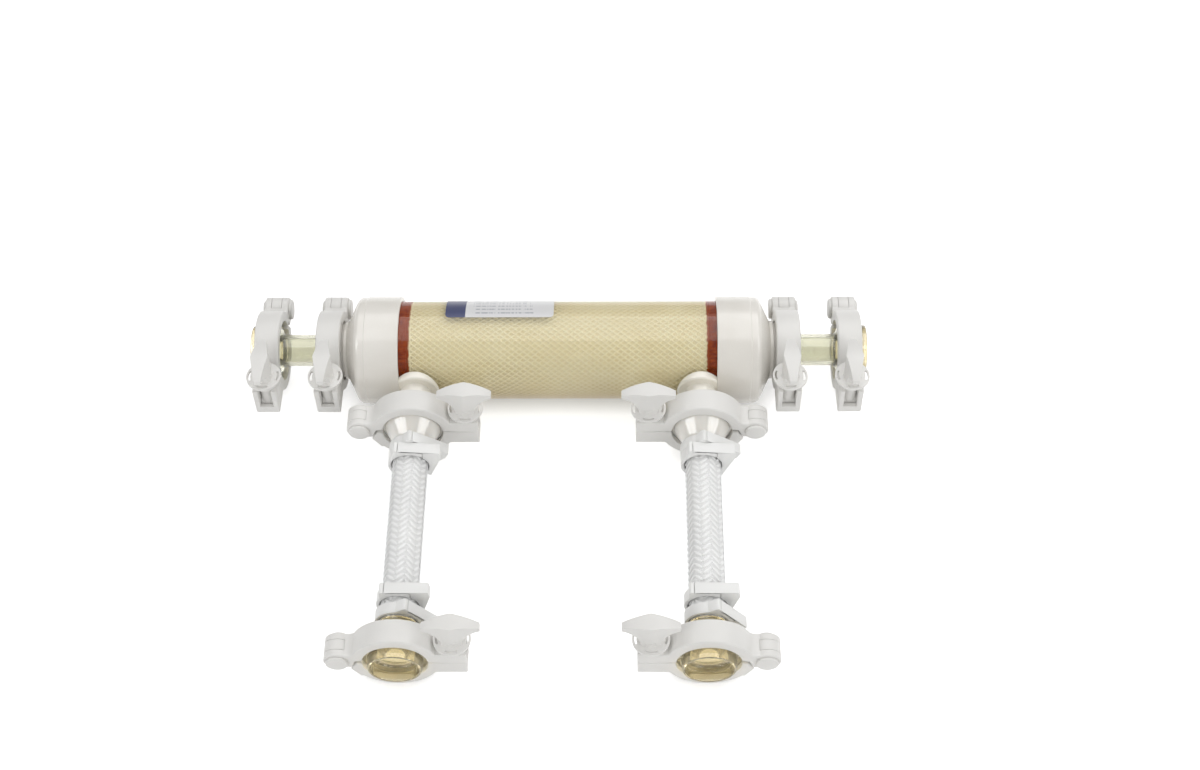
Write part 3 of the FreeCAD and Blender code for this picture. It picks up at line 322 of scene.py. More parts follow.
# %% Helper: thin clear skin
def thin_clear(name, face, edge, light, haze, colour, gloss=0.04, shine=(0.035, 0.75)):
    """A thin clear wall: its tint goes from face to edge as it turns away, with a mirror skin and a
    little haze. Lamps and bounced light pass with the light tint."""
    material, nodes, links = new_material(name)
    through = nodes.new("ShaderNodeBsdfTransparent")
    mirror = nodes.new("ShaderNodeBsdfPrincipled")
    mirror.inputs["Metallic"].default_value = 1.0
    mirror.inputs["Base Color"].default_value = (0.95, 0.95, 0.95, 1)
    milk = nodes.new("ShaderNodeBsdfPrincipled")
    milk.inputs["Base Color"].default_value = colour + (1,)
    out = nodes.new("ShaderNodeOutputMaterial")
    turn = nodes.new("ShaderNodeLayerWeight")
    turn.inputs["Blend"].default_value = 0.3
    rays = nodes.new("ShaderNodeLightPath")
    lit = nodes.new("ShaderNodeMath")
    lit.operation = "MAXIMUM"
    links.new(rays.outputs["Is Shadow Ray"], lit.inputs[0])
    links.new(rays.outputs["Is Diffuse Ray"], lit.inputs[1])
    tint = nodes.new("ShaderNodeMix")
    tint.data_type = "RGBA"
    tint.inputs["B"].default_value = light + (1,)
    links.new(lit.outputs[0], tint.inputs["Factor"])
    links.new(two_colours(nodes, links, turn.outputs["Facing"], face, edge), tint.inputs["A"])
    links.new(tint.outputs["Result"], through.inputs["Color"])
    grain = noise_on(nodes, links, 60.0, 2.0)
    links.new(spread_range(nodes, links, grain, gloss, gloss + 0.05), mirror.inputs["Roughness"])
    # Schlick's curve for plastic, on the outer face only
    slant = nodes.new("ShaderNodeLayerWeight")
    slant.inputs["Blend"].default_value = 0.5
    steep = nodes.new("ShaderNodeMath")
    steep.operation = "POWER"
    steep.inputs[1].default_value = 5.0
    skin = nodes.new("ShaderNodeMapRange")
    skin.inputs["To Min"].default_value = shine[0]
    skin.inputs["To Max"].default_value = shine[1]
    side_seen = nodes.new("ShaderNodeNewGeometry")
    outer = nodes.new("ShaderNodeMath")
    outer.operation = "SUBTRACT"
    outer.inputs[0].default_value = 1.0
    share = nodes.new("ShaderNodeMath")
    share.operation = "MULTIPLY"
    links.new(slant.outputs["Facing"], steep.inputs[0])
    links.new(steep.outputs[0], skin.inputs["Value"])
    links.new(side_seen.outputs["Backfacing"], outer.inputs[1])
    links.new(skin.outputs["Result"], share.inputs[0])
    links.new(outer.outputs[0], share.inputs[1])
    cloudy = nodes.new("ShaderNodeMixShader")
    links.new(spread_range(nodes, links, grain, haze * 0.8, haze * 1.2), cloudy.inputs["Fac"])
    links.new(through.outputs[0], cloudy.inputs[1])
    links.new(milk.outputs[0], cloudy.inputs[2])
    mix = nodes.new("ShaderNodeMixShader")
    links.new(share.outputs[0], mix.inputs["Fac"])
    links.new(cloudy.outputs[0], mix.inputs[1])
    links.new(mirror.outputs[0], mix.inputs[2])
    links.new(mix.outputs[0], out.inputs["Surface"])
    return material


# %% Helper: thick clear moulding
def thick_clear(name, tint, lamp_tint, haze, milk, gloss=0.02, ior=1.5):
    """A thick clear moulding that bends the view; lamps pass it as if through tinted film. The
    resin is a little cloudy: haze is the share of its milk colour."""
    material, nodes, links = new_material(name)
    glass = nodes.new("ShaderNodeBsdfPrincipled")
    glass.inputs["Transmission Weight"].default_value = 1.0
    glass.inputs["IOR"].default_value = ior
    cloud = nodes.new("ShaderNodeBsdfPrincipled")
    cloud.inputs["Base Color"].default_value = milk + (1,)
    cloud.inputs["Specular IOR Level"].default_value = 0.0
    hazy = nodes.new("ShaderNodeMixShader")
    film = nodes.new("ShaderNodeBsdfTransparent")
    film.inputs["Color"].default_value = lamp_tint + (1,)
    rays = nodes.new("ShaderNodeLightPath")
    mix = nodes.new("ShaderNodeMixShader")
    out = nodes.new("ShaderNodeOutputMaterial")
    flow = noise_on(nodes, links, 45.0, 2.0)
    paler = tuple(min(1.0, c * 1.04 + 0.01) for c in tint)
    colour = two_colours(nodes, links, spread_range(nodes, links, flow, 0, 1), tint, paler)
    links.new(colour, glass.inputs["Base Color"])
    links.new(spread_range(nodes, links, flow, gloss, gloss + 0.03), glass.inputs["Roughness"])
    links.new(spread_range(nodes, links, flow, haze * 0.85, haze * 1.15), hazy.inputs["Fac"])
    links.new(glass.outputs[0], hazy.inputs[1])
    links.new(cloud.outputs[0], hazy.inputs[2])
    links.new(rays.outputs["Is Shadow Ray"], mix.inputs["Fac"])
    links.new(hazy.outputs[0], mix.inputs[1])
    links.new(film.outputs[0], mix.inputs[2])
    links.new(mix.outputs[0], out.inputs["Surface"])
    return material


# %% Finish of the housing
def housing_wall():
    """The outer face of the housing: real plastic that bends the view, so the bundle seems to fill the
    tube, amber where the wall is seen along its thickness, and deeper amber towards the underside as
    painted shade. Lamps and bounced light pass straight."""
    material, nodes, links = new_material("housing_clear")
    glass = nodes.new("ShaderNodeBsdfPrincipled")
    glass.inputs["Transmission Weight"].default_value = 1.0
    glass.inputs["IOR"].default_value = 1.36
    film = nodes.new("ShaderNodeBsdfTransparent")
    film.inputs["Color"].default_value = (0.99, 0.985, 0.96, 1)
    rays = nodes.new("ShaderNodeLightPath")
    lit = nodes.new("ShaderNodeMath")
    lit.operation = "MAXIMUM"
    turn = nodes.new("ShaderNodeLayerWeight")
    turn.inputs["Blend"].default_value = 0.26
    mix = nodes.new("ShaderNodeMixShader")
    out = nodes.new("ShaderNodeOutputMaterial")
    flow = noise_on(nodes, links, 60.0, 2.0)
    where = nodes.new("ShaderNodeTexCoord")
    split = nodes.new("ShaderNodeSeparateXYZ")
    # painted shade: the amber deepens towards the underside of the tube, by height, on top of the tint from
    # the wall's thickness
    lower = nodes.new("ShaderNodeMapRange")
    lower.inputs["From Min"].default_value = AXIS_Z + 25 * MM
    lower.inputs["From Max"].default_value = AXIS_Z - 25 * MM
    lower.inputs["To Min"].default_value = 0.25
    lower.inputs["To Max"].default_value = 1.6
    depth = nodes.new("ShaderNodeMath")
    depth.operation = "MULTIPLY"
    links.new(where.outputs["Object"], split.inputs[0])
    links.new(split.outputs["Z"], lower.inputs["Value"])
    links.new(lower.outputs["Result"], depth.inputs[0])
    links.new(turn.outputs["Facing"], depth.inputs[1])
    links.new(two_colours(nodes, links, depth.outputs[0], (0.98, 0.94, 0.80), (0.50, 0.27, 0.05)),
              glass.inputs["Base Color"])
    links.new(spread_range(nodes, links, flow, 0.02, 0.06), glass.inputs["Roughness"])
    links.new(rays.outputs["Is Shadow Ray"], lit.inputs[0])
    links.new(rays.outputs["Is Diffuse Ray"], lit.inputs[1])
    links.new(lit.outputs[0], mix.inputs["Fac"])
    links.new(glass.outputs[0], mix.inputs[1])
    links.new(film.outputs[0], mix.inputs[2])
    links.new(mix.outputs[0], out.inputs["Surface"])
    return material


def bore_wall():
    """The bore is wet and pressed on by net and resin, so it hardly bends the light."""
    material, nodes, links = new_material("housing_bore")
    film = nodes.new("ShaderNodeBsdfTransparent")
    out = nodes.new("ShaderNodeOutputMaterial")
    flow = noise_on(nodes, links, 60.0, 2.0)
    drift = spread_range(nodes, links, flow, 0, 1)
    tint = two_colours(nodes, links, drift, (0.99, 0.98, 0.94), (1.0, 1.0, 0.98))
    links.new(tint, film.inputs["Color"])
    links.new(film.outputs[0], out.inputs["Surface"])
    return material


housing_clear, housing_bore = housing_wall(), bore_wall()

# %% Finishes of the other clear parts
spool_clear = thick_clear("spool_clear", (0.76, 0.755, 0.635), (0.94, 0.93, 0.84), 0.12, (0.84, 0.83, 0.69))
amber_clear = thick_clear("amber_clear", (0.90, 0.84, 0.66), (0.97, 0.92, 0.79), 0.08, (0.92, 0.84, 0.60))
hose_skin = thin_clear("hose_skin", (1.0, 1.0, 1.0), (0.96, 0.965, 0.97), (1.0, 1.0, 1.0), 0.03,
                       (0.94, 0.94, 0.94), 0.12, (0.006, 0.30))

# %% [markdown]
# ## Turned pieces
# The caps, spools, adapters and tubes are all round, so they are made like lathe work: one
# flattened point is extruded along the half profile, the outline is closed, and it is spun about
# its axis. Small arcs at the corners come from the profile itself, so every edge catches the light.

# %% Helper: profile with rounded corners
def rounded(corners):
    """Points of a closed profile in millimetres. A corner is (radius, station) or has a third
    number, the radius of the arc that takes its place."""
    points, count = [], len(corners)
    for i, corner in enumerate(corners):
        here = Vector(corner[:2])
        size = corner[2] if len(corner) > 2 else 0
        if size == 0:
            points.append(here)
            continue
        before = Vector(corners[i - 1][:2]) - here
        after = Vector(corners[(i + 1) % count][:2]) - here
        half = before.angle(after) / 2
        reach = min(size / math.tan(half), before.length * 0.49, after.length * 0.49)
        size = reach * math.tan(half)
        start, end = here + before.normalized() * reach, here + after.normalized() * reach
        centre = here + (before.normalized() + after.normalized()).normalized() * (size / math.sin(half))
        first, last = start - centre, end - centre
        sweep = math.atan2(first.x * last.y - first.y * last.x, first.dot(last))
        steps = max(2, round(abs(sweep) / math.radians(11)))
        for k in range(steps + 1):
            turn = Matrix.Rotation(sweep * k / steps, 2)
            points.append(centre + turn @ first)
    return points


# %% Helper: lathe
def edit_all():
    bpy.ops.object.mode_set(mode="EDIT")
    bpy.ops.mesh.select_all(action="SELECT")


def lathe(name, corners, seat, steps=96):
    """Extrudes a point along the profile, closes it and spins it about the local Z axis."""
    points = [Vector((p.x, 0, p.y)) * MM for p in rounded(corners)]
    bpy.ops.object.select_all(action="DESELECT")
    bpy.ops.mesh.primitive_plane_add(size=MM, location=(0, 0, 0))
    piece = bpy.context.object
    piece.name = name
    edit_all()
    bpy.ops.mesh.merge(type="CENTER")
    bpy.ops.transform.translate(value=points[0])
    for here, after in zip(points, points[1:] + points[:1]):
        bpy.ops.mesh.extrude_vertices_move(TRANSFORM_OT_translate={"value": after - here})
    bpy.ops.mesh.select_all(action="SELECT")
    bpy.ops.mesh.remove_doubles(threshold=MM / 1000)
    bpy.ops.mesh.spin(steps=steps, angle=2 * math.pi, center=(0, 0, 0), axis=(0, 0, 1))
    bpy.ops.mesh.select_all(action="SELECT")
    bpy.ops.mesh.remove_doubles(threshold=MM / 1000)
    bpy.ops.mesh.normals_make_consistent(inside=False)
    bpy.ops.object.mode_set(mode="OBJECT")
    piece.matrix_world = seat
    bpy.ops.object.transform_apply(location=True, rotation=True, scale=True)
    bpy.ops.object.shade_smooth_by_angle(angle=math.radians(35))
    return piece


def dress(piece, body, slot, material, *replaced):
    """Gives a finished piece its place on a body and its material. The slot is not used."""
    piece.data.materials.clear()
    piece.data.materials.append(material)
    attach(piece, body)
    if replaced:
        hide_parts(*replaced)
    return piece


# %% [markdown]
# ## Softened copies
# The clamps, clips, bolts and nuts already have their true shapes as solids, but with knife-sharp
# edges, which no moulding has. A copy of each is merged, its flat faces are joined, and a Bevel
# modifier rounds the edges, so they show the soft bright lines of the photograph.

# %% Helper: softened copy of a solid
def softened(node, name, width, segments=3, flat=1.0, limit=28):
    """A copy of a CAD node with rounded edges; width in millimetres."""
    source = frame["nodes"][node]
    bpy.ops.object.select_all(action="DESELECT")
    piece = source.copy()
    piece.data = source.data.copy()
    for key in list(piece.keys()):
        del piece[key]
    piece.parent = None
    piece.matrix_world = Matrix.Identity(4)
    piece.name = name
    bpy.context.scene.collection.objects.link(piece)
    piece.select_set(True)
    bpy.context.view_layer.objects.active = piece
    if piece.data.has_custom_normals:
        bpy.ops.mesh.customdata_custom_splitnormals_clear()
    edit_all()
    bpy.ops.mesh.remove_doubles(threshold=MM / 500)
    bpy.ops.mesh.dissolve_limited(angle_limit=math.radians(flat))
    bpy.ops.object.mode_set(mode="OBJECT")
    if width > 0:
        bevel = piece.modifiers.new("soft_edges", "BEVEL")
        bevel.width = width * MM
        bevel.segments = segments
        bevel.limit_method = "ANGLE"
        bevel.angle_limit = math.radians(limit)
        bevel.use_clamp_overlap = True
        bevel.harden_normals = False
        bpy.ops.object.modifier_apply(modifier="soft_edges")
    bpy.ops.object.shade_smooth_by_angle(angle=math.radians(30))
    return piece


# %% [markdown]
# ## Clamps
# Each clamp is two hinged jaws, a hinge pin, a swing bolt and a wing nut. The nut turns, so it rides
# on its own body. The rest stays with the cartridge.

# %% Clamps
SPOTS = [spot + "_" + side for spot in ("inner", "outer", "port", "outlet") for side in ("left", "right")]
for spot in SPOTS:
    for kind, width in (("upper_jaw", 0.55), ("lower_jaw", 0.55), ("swing_bolt", 0.3)):
        node = kind + "_" + spot
        dress(softened(node, node + "_soft", width), "cartridge", "clamp_plastic", clamp_white, node)
    node = "wing_nut_" + spot
    dress(softened(node, node + "_soft", 0.9, 4), "nut_" + spot, "clamp_plastic", clamp_white, node)
dress(softened("hinge_pins", "hinge_pins_soft", 0.4), "cartridge", "clamp_plastic", clamp_white, "hinge_pins")
print("clamps dressed:", len(SPOTS))

# %% [markdown]
# ## End caps
# A bonded skirt, a shallow seam, a domed shoulder and a short neck that ends in a ferrule. The dome
# is one large arc in the profile.

# %% End caps
CAP_RIM = 115.0
FERRULE = 25.25
SLOPE = math.tan(math.radians(20.0))


def ferrule_back(neck, face, sign, rim=2.85):
    """Corners of a ferrule from its face's outer edge down the sloped back to the neck."""
    foot = face + sign * (rim + (FERRULE - neck) * SLOPE)
    return [(FERRULE, face, 0.3), (FERRULE, face + sign * rim, 0.5), (neck, foot, 0.8)]


cap_back = ferrule_back(19.8, 51.3, -1)
cap_profile = [(36.15, 0.0, 0.3), (39.4, 0.0, 0.7), (39.4, 24.5, 0.25), (38.95, 25.0, 0.3),
               (38.95, 31.0, 8.6), (21.3, 39.3, 1.0), (21.3, 41.9, 0.4), (19.8, 41.9, 0.3)]
cap_profile += cap_back[::-1]
cap_profile += [(17.4, 51.3, 0.3), (17.4, 39.3, 1.0), (31.8, 30.0, 2.0), (31.8, 16.1), (36.15, 16.1)]
for side, word in ((-1, "left"), (1, "right")):
    cap = lathe("end_cap_" + word + "_turned", cap_profile, along_cartridge(side, CAP_RIM), 160)
    dress(cap, "cartridge", "cap_plastic", cap_ivory, "end_cap_" + word)

# %% [markdown]
# ## Housing
# The tube is clear amber polysulfone. Its ends are hidden in the caps. The outer faces get the wall
# that bends the view, and the faces of the bore the one that doesn't.

# %% Housing tube
TUBE_RADIUS, BORE_RADIUS, TUBE_END = 36.0, 31.8, 131.0
tube_profile = [(BORE_RADIUS, -TUBE_END), (TUBE_RADIUS, -TUBE_END),
                (TUBE_RADIUS, TUBE_END), (BORE_RADIUS, TUBE_END)]
tube = lathe("housing_tube_turned", tube_profile, along_cartridge(1), 192)
dress(tube, "cartridge", "clear_polysulfone", housing_clear, "housing_tube")
tube.data.materials.append(housing_bore)
for face in tube.data.polygons:
    outward = Vector((0, face.center.y - AXIS_Y, face.center.z - AXIS_Z)).dot(face.normal) > 0
    face.material_index = 0 if outward else 1
print("bore faces:", sum(face.material_index for face in tube.data.polygons))

# %% [markdown]
# ## Fibre bundle
# Thousands of cream fibres lie along the housing. They are too fine to model one by one, so the
# bundle is a turned core whose material carries streaks along its length. The net that holds them
# is real mesh: a tube of squares whose faces are poked, so that dissolving the old edges leaves
# diamonds, which a Wireframe modifier turns into strands. They are pressed flat against the fibres.

# %% Fibre core
fibres, nodes, links = new_material("fibre_cream")
shader = nodes.new("ShaderNodeBsdfPrincipled")
out = nodes.new("ShaderNodeOutputMaterial")
streaks = noise_on(nodes, links, 1.0, 3.0, (25.0, 1500.0, 1500.0))
cloud = noise_on(nodes, links, 1.0, 2.0, (14.0, 60.0, 60.0))
fine = two_colours(nodes, links, spread_range(nodes, links, streaks, 0, 1), (0.95, 0.89, 0.68),
                   (0.88, 0.80, 0.56))
tone = nodes.new("ShaderNodeMix")
tone.data_type = "RGBA"
tone.blend_type = "MULTIPLY"
links.new(spread_range(nodes, links, cloud, 0, 0.5), tone.inputs["Factor"])
links.new(fine, tone.inputs["A"])
tone.inputs["B"].default_value = (0.94, 0.92, 0.86, 1)
# resin has crept a little way up the fibres beside each potting plug
where = nodes.new("ShaderNodeTexCoord")
split = nodes.new("ShaderNodeSeparateXYZ")
links.new(where.outputs["Object"], split.inputs[0])
reach = math_node(nodes, links, "ABSOLUTE", split.outputs["X"], 0.0)
ragged = noise_on(nodes, links, 1.0, 2.0, (300.0, 1300.0, 1300.0))
wander = math_node(nodes, links, "MULTIPLY", ragged, 4.0 * MM)
soaked = nodes.new("ShaderNodeMapRange")
soaked.inputs["From Min"].default_value = 109.7 * MM
soaked.inputs["From Max"].default_value = 109.9 * MM
links.new(math_node(nodes, links, "ADD", reach, wander), soaked.inputs["Value"])
stained = nodes.new("ShaderNodeMix")
stained.data_type = "RGBA"
stained.inputs["B"].default_value = (0.33, 0.06, 0.008, 1)
links.new(soaked.outputs["Result"], stained.inputs["Factor"])
links.new(tone.outputs["Result"], stained.inputs["A"])
links.new(stained.outputs["Result"], shader.inputs["Base Color"])
shader.inputs["Roughness"].default_value = 0.6
shader.inputs["Specular IOR Level"].default_value = 0.0
raised = nodes.new("ShaderNodeBump")
raised.inputs["Strength"].default_value = 0.35
raised.inputs["Distance"].default_value = 0.0004
links.new(streaks, raised.inputs["Height"])
links.new(raised.outputs["Normal"], shader.inputs["Normal"])
links.new(shader.outputs[0], out.inputs["Surface"])

core = lathe("fibre_core", [(0, -109.6), (30.4, -109.6), (30.4, 109.6), (0, 109.6)], along_cartridge(1), 128)
dress(core, "cartridge", "fibre_bundle", fibres, "fiber_bundle")

# %% Net over the bundle
NET_ROUND, NET_RINGS, NET_RADIUS, NET_HALF = 48, 38, 31.0, 107.0
STRAND, STRAND_FLATNESS = 1.25, 0.3
bpy.ops.object.select_all(action="DESELECT")
bpy.ops.mesh.primitive_cylinder_add(vertices=NET_ROUND, radius=NET_RADIUS * MM, depth=2 * NET_HALF * MM,
                                    end_fill_type="NOTHING", location=(0, 0, 0))
net = bpy.context.object
net.name = "bundle_net_strands"
bpy.ops.object.mode_set(mode="EDIT")
bpy.ops.mesh.select_all(action="DESELECT")
bpy.ops.mesh.select_mode(type="EDGE")
bpy.ops.object.mode_set(mode="OBJECT")
for edge in net.data.edges:
    ends = [net.data.vertices[v].co for v in edge.vertices]
    edge.select = abs(ends[0].z - ends[1].z) > MM
bpy.ops.object.mode_set(mode="EDIT")
bpy.ops.mesh.subdivide(number_cuts=NET_RINGS - 1)
bpy.ops.object.mode_set(mode="OBJECT")
corners_before = len(net.data.vertices)
edit_all()
bpy.ops.mesh.poke()
bpy.ops.mesh.select_all(action="DESELECT")
bpy.ops.object.mode_set(mode="OBJECT")
for edge in net.data.edges:
    edge.select = max(edge.vertices) < corners_before
bpy.ops.object.mode_set(mode="EDIT")
bpy.ops.mesh.dissolve_edges(use_verts=False)
bpy.ops.mesh.select_mode(type="VERT")
bpy.ops.object.mode_set(mode="OBJECT")
for point in net.data.vertices:
    point.co.xy = point.co.xy.normalized() * NET_RADIUS * MM
strands = net.modifiers.new("strands", "WIREFRAME")
strands.thickness = STRAND * MM
strands.use_replace = True
bpy.ops.object.modifier_apply(modifier="strands")
for point in net.data.vertices:
    flat = NET_RADIUS * MM + (point.co.xy.length - NET_RADIUS * MM) * STRAND_FLATNESS
    point.co.xy = point.co.xy.normalized() * flat
net.matrix_world = along_cartridge(1)
bpy.ops.object.transform_apply(location=True, rotation=True, scale=True)
bpy.ops.object.shade_smooth()
net_cream = plastic("net_cream", (0.96, 0.90, 0.70), (0.92, 0.85, 0.64), (0.35, 0.5), 0.02)
dress(net, "cartridge", "bundle_net", net_cream, "bundle_net")
print("net faces:", len(net.data.polygons))

# %% [markdown]
# ## Potting
# The resin that seals the fibre ends is red brown and slightly mottled. It shows through the tube as
# a dark ring beside each cap.

# %% Potting resin
resin, nodes, links = new_material("resin_red_brown")
shader = nodes.new("ShaderNodeBsdfPrincipled")
out = nodes.new("ShaderNodeOutputMaterial")
mottle = noise_on(nodes, links, 1.0, 4.0, (260.0, 520.0, 520.0))
colour = two_colours(nodes, links, spread_range(nodes, links, mottle, 0, 1), (0.20, 0.022, 0.002),
                     (0.42, 0.070, 0.006))
links.new(colour, shader.inputs["Base Color"])
links.new(spread_range(nodes, links, mottle, 0.22, 0.35), shader.inputs["Roughness"])
shader.inputs["Specular IOR Level"].default_value = 0.0
links.new(shader.outputs[0], out.inputs["Surface"])
for side, word in ((-1, "left"), (1, "right")):
    plug_profile = [(0, 109.7), (31.65, 109.7, 0.6), (31.65, 131.0), (0, 131.0)]
    plug = lathe("potting_" + word + "_plug", plug_profile, along_cartridge(side), 128)
    dress(plug, "cartridge", "potting_resin", resin, "potting_" + word)

# %% [markdown]
# ## Spools, blind caps and adapters
# Small clear mouldings with real thickness. Their refraction does the work: dark rims, bright
# windows and the amber glow in the openings.

# %% Clear spools and blind caps
END_FACE, GASKET, SPOOL = 166.3, 1.6, 42.8
PORT_FACE, SHOULDER, HOSE_LENGTH = 63.95, 18.95, 144.2
ADAPTER_START = PORT_FACE + GASKET
HOSE_START = ADAPTER_START + SHOULDER
ADAPTER_END = HOSE_START + HOSE_LENGTH + SHOULDER
near, far = ferrule_back(13.3, 0.0, 1), ferrule_back(13.3, SPOOL, -1)
spool_profile = [(8.7, 0.0, 0.2)] + near[:2] + [(13.3, near[2][1]), (11.7, near[2][1] + 1.6, 2.0),
                 (11.7, far[2][1] - 1.6, 2.0), (13.3, far[2][1])] + far[:2][::-1] + [(8.7, SPOOL, 0.2)]
blind_back = ferrule_back(18.7, 0.0, 1)
blind_profile = [(0, 0)] + blind_back[:2] + [(18.7, blind_back[2][1], 0.6), (17.9, 12.7, 0.5),
                 (16.3, 12.7, 0.4), (15.3, 1.5, 2.4), (0, 1.5)]
for side, word in ((-1, "left"), (1, "right")):
    spool = lathe("spool_" + word + "_turned", spool_profile, along_cartridge(side, END_FACE + GASKET), 128)
    dress(spool, "cartridge", "pale_clear", spool_clear, "spool_" + word)
    seats = {"retentate_cap_" + word: along_cartridge(side, END_FACE + 2 * GASKET + SPOOL),
             "permeate_cap_" + word: along_leg(side, ADAPTER_END + GASKET)}
    for node, seat in seats.items():
        blind = lathe(node + "_turned", blind_profile, seat, 128)
        dress(blind, "cartridge", "amber_clear", amber_clear, node)

# %% Hose adapters
adapter_back = ferrule_back(19.8, 0.0, 1)
adapter_profile = [(7.3, 0.0, 0.3)] + adapter_back[:2] + [(19.8, adapter_back[2][1], 0.6),
                   (19.8, adapter_back[2][1] + 1.2, 0.8), (13.5, SHOULDER - 2.0, 1.0), (13.5, SHOULDER, 0.3),
                   (9.2, SHOULDER)]
for ridge in range(3):
    start, end = SHOULDER + 9.0 * (ridge + 0.5), SHOULDER + 9.0 * (ridge + 1)
    adapter_profile += [(9.2, start), (9.8, start, 0.15), (9.2, end)]
adapter_profile.append((7.3, SHOULDER + 27.0, 0.3))
for side, word in ((-1, "left"), (1, "right")):
    upper = lathe("port_adapter_" + word + "_turned", adapter_profile, along_leg(side, ADAPTER_START), 128)
    dress(upper, "cartridge", "natural_polypropylene", milky, "port_adapter_" + word)
    seat = along_leg(side, ADAPTER_END, flip=True)
    lower = lathe("outlet_adapter_" + word + "_turned", adapter_profile, seat, 128)
    dress(lower, "cartridge", "amber_clear", amber_clear, "outlet_adapter_" + word)

# %% Ports and gaskets
for word in ("left", "right"):
    node = "permeate_port_" + word
    dress(softened(node, node + "_soft", 0.6, 3), "cartridge", "cap_plastic", port_ivory_painted_light, node)
dress(softened("gaskets", "gaskets_soft", 0.2, 2), "cartridge", "gasket_rubber", gasket_white, "gaskets")

# %% [markdown]
# ## Hoses
# The hose is clear silicone over a white braid over a milky liner. The braid shows as columns of
# slanted floats that lean left and right in turn, so one float is modelled, and its copies are
# wrapped round the liner in twelve columns.

# %% Hose braid
BRAID_RADIUS, COLUMNS, ROW_PITCH = 12.35, 12, 4.65
braid_white = plastic("braid_white", (0.98, 0.98, 0.97), (0.95, 0.95, 0.945), (0.35, 0.5), 0.05)
liner_milk = plastic("liner_milk", (0.87, 0.87, 0.86), (0.82, 0.82, 0.815), (0.4, 0.5), 0.02)


def braid(name, seat):
    """Slanted floats in columns round the hose, each a flattened sphere laid on the liner."""
    bpy.ops.object.select_all(action="DESELECT")
    bpy.ops.mesh.primitive_uv_sphere_add(segments=10, ring_count=6, radius=1.0, location=(0, 0, 0))
    piece = bpy.context.object
    piece.name = name
    one = np.array([v.co for v in piece.data.vertices])
    faces = [tuple(p.vertices) for p in piece.data.polygons]
    span = 2 * math.pi * BRAID_RADIUS / COLUMNS
    places, loops = [], []
    rows = int(HOSE_LENGTH / ROW_PITCH)
    for column in range(COLUMNS):
        lean = math.radians(40) * (1 if column % 2 else -1)
        for row in range(rows):
            along = one[:, 0] * 4.3
            across = one[:, 1] * 1.15
            u = along * math.cos(lean) - across * math.sin(lean)
            v = along * math.sin(lean) + across * math.cos(lean)
            r = BRAID_RADIUS + one[:, 2] * 0.33 - 0.02 * np.abs(along)
            angle = (column * span + u) / BRAID_RADIUS
            z = (row + 0.5) * ROW_PITCH + v
            keep = np.clip(z, 0.15, HOSE_LENGTH - 0.15)
            base = len(places) * len(one)
            places.append(np.stack([r * np.cos(angle), r * np.sin(angle), keep], 1) * MM)
            loops += [tuple(i + base for i in face) for face in faces]
    piece.data.clear_geometry()
    piece.data.from_pydata(np.concatenate(places).tolist(), [], loops)
    piece.data.update()
    piece.matrix_world = seat
    bpy.ops.object.transform_apply(location=True, rotation=True, scale=True)
    bpy.ops.object.shade_smooth()
    return piece


# %% Hose skin and liner
def bulged(radius, station):
    """The skin swells a little beside each clip."""
    swell = sum(math.exp(-((station - spot) / 2.2) ** 2) for spot in (20.5, HOSE_LENGTH - 25.0))
    return radius + 0.45 * swell


stations = np.linspace(0.0, HOSE_LENGTH, 60)
skin_profile = [(12.9, 0.0)] + [(bulged(13.5, s), float(s)) for s in stations] + [(12.9, HOSE_LENGTH)]
liner_profile = [(10.1, 0.2), (11.9, 0.2), (11.9, HOSE_LENGTH - 0.2), (10.1, HOSE_LENGTH - 0.2)]
for side, word in ((-1, "left"), (1, "right")):
    seat, node = along_leg(side, HOSE_START), "hose_" + word
    layers = ((lathe(node + "_skin", skin_profile, seat, 96), hose_skin),
              (braid(node + "_braid", seat), braid_white),
              (lathe(node + "_liner", liner_profile, seat, 96), liner_milk))
    for layer, finish in layers:
        dress(layer, "cartridge", "hose_silicone", finish, node)

# %% Hose clips
clips = softened("hose_clips", "hose_clips_soft", 0.35, 2)
dress(clips, "cartridge", "clip_plastic", clip_white, "hose_clips")

# %% [markdown]
# ## Label
# A white film with a dark blue block at its left end. The real one carries print, which is replaced
# by plain grey bars, so nothing on it can be read.

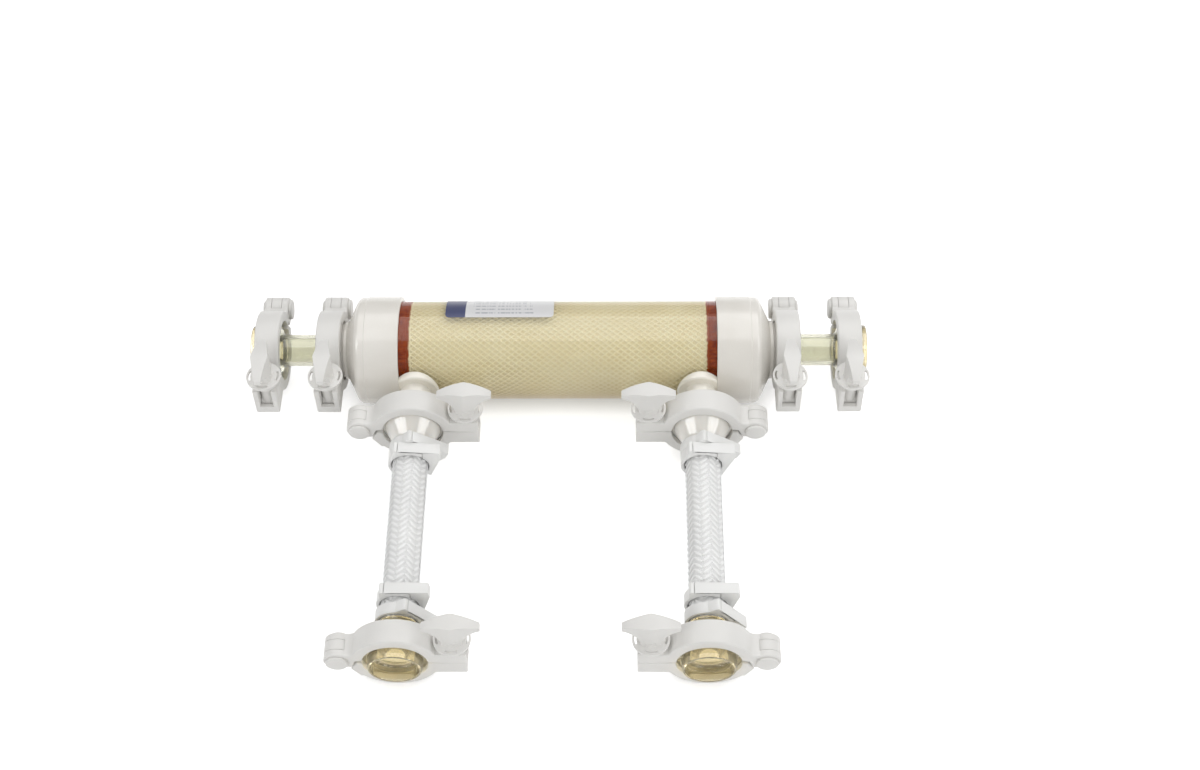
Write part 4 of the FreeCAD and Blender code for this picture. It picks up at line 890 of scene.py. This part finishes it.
# %% Label
label = softened("label", "label_film", 0.0)
around = [math.atan2(v.co.y - AXIS_Y, v.co.z - AXIS_Z) for v in label.data.vertices]
LABEL_FRONT, LABEL_BACK = min(around), max(around)
LABEL_LEFT = min(v.co.x for v in label.data.vertices)
film, nodes, links = new_material("label_film")
shader = nodes.new("ShaderNodeBsdfPrincipled")
out = nodes.new("ShaderNodeOutputMaterial")
where = nodes.new("ShaderNodeTexCoord")
split = nodes.new("ShaderNodeSeparateXYZ")
links.new(where.outputs["Object"], split.inputs[0])


def number_node(operation, first, second):
    return math_node(nodes, links, operation, first, second)


def band(value, low, high):
    """1 between low and high, else 0."""
    above = number_node("GREATER_THAN", value, low)
    return number_node("MULTIPLY", above, number_node("LESS_THAN", value, high))


from_left = number_node("DIVIDE", number_node("SUBTRACT", split.outputs["X"], LABEL_LEFT), MM)
angle = number_node("ARCTAN2", number_node("SUBTRACT", split.outputs["Y"], AXIS_Y),
                    number_node("SUBTRACT", split.outputs["Z"], AXIS_Z))
from_front = number_node("MULTIPLY", number_node("SUBTRACT", angle, LABEL_FRONT), TUBE_RADIUS)
block = band(from_left, -1.0, 14.5)
lines = number_node("MULTIPLY", band(number_node("PINGPONG", from_front, 2.2), 0.0, 0.55),
                    band(from_front, 3.5, 34.0))
dashes = number_node("GREATER_THAN", noise_on(nodes, links, 1.0, 1.0, (900.0, 40.0, 40.0)), 0.47)
bars = number_node("MULTIPLY", number_node("MULTIPLY", lines, dashes), band(from_left, 20.0, 64.0))
paper_white = two_colours(nodes, links, noise_on(nodes, links, 60.0), (0.72, 0.72, 0.72), (0.68, 0.68, 0.69))
mix_block = nodes.new("ShaderNodeMix")
mix_block.data_type = "RGBA"
mix_block.inputs["B"].default_value = (0.028, 0.038, 0.12, 1)
links.new(block, mix_block.inputs["Factor"])
links.new(paper_white, mix_block.inputs["A"])
mix_bars = nodes.new("ShaderNodeMix")
mix_bars.data_type = "RGBA"
mix_bars.inputs["B"].default_value = (0.33, 0.34, 0.38, 1)
links.new(bars, mix_bars.inputs["Factor"])
links.new(mix_block.outputs["Result"], mix_bars.inputs["A"])
links.new(mix_bars.outputs["Result"], shader.inputs["Base Color"])
shader.inputs["Roughness"].default_value = 0.3
links.new(shader.outputs[0], out.inputs["Surface"])
dress(label, "cartridge", "label_film", film, "label")
print("label spans %.1f degrees" % math.degrees(LABEL_BACK - LABEL_FRONT))
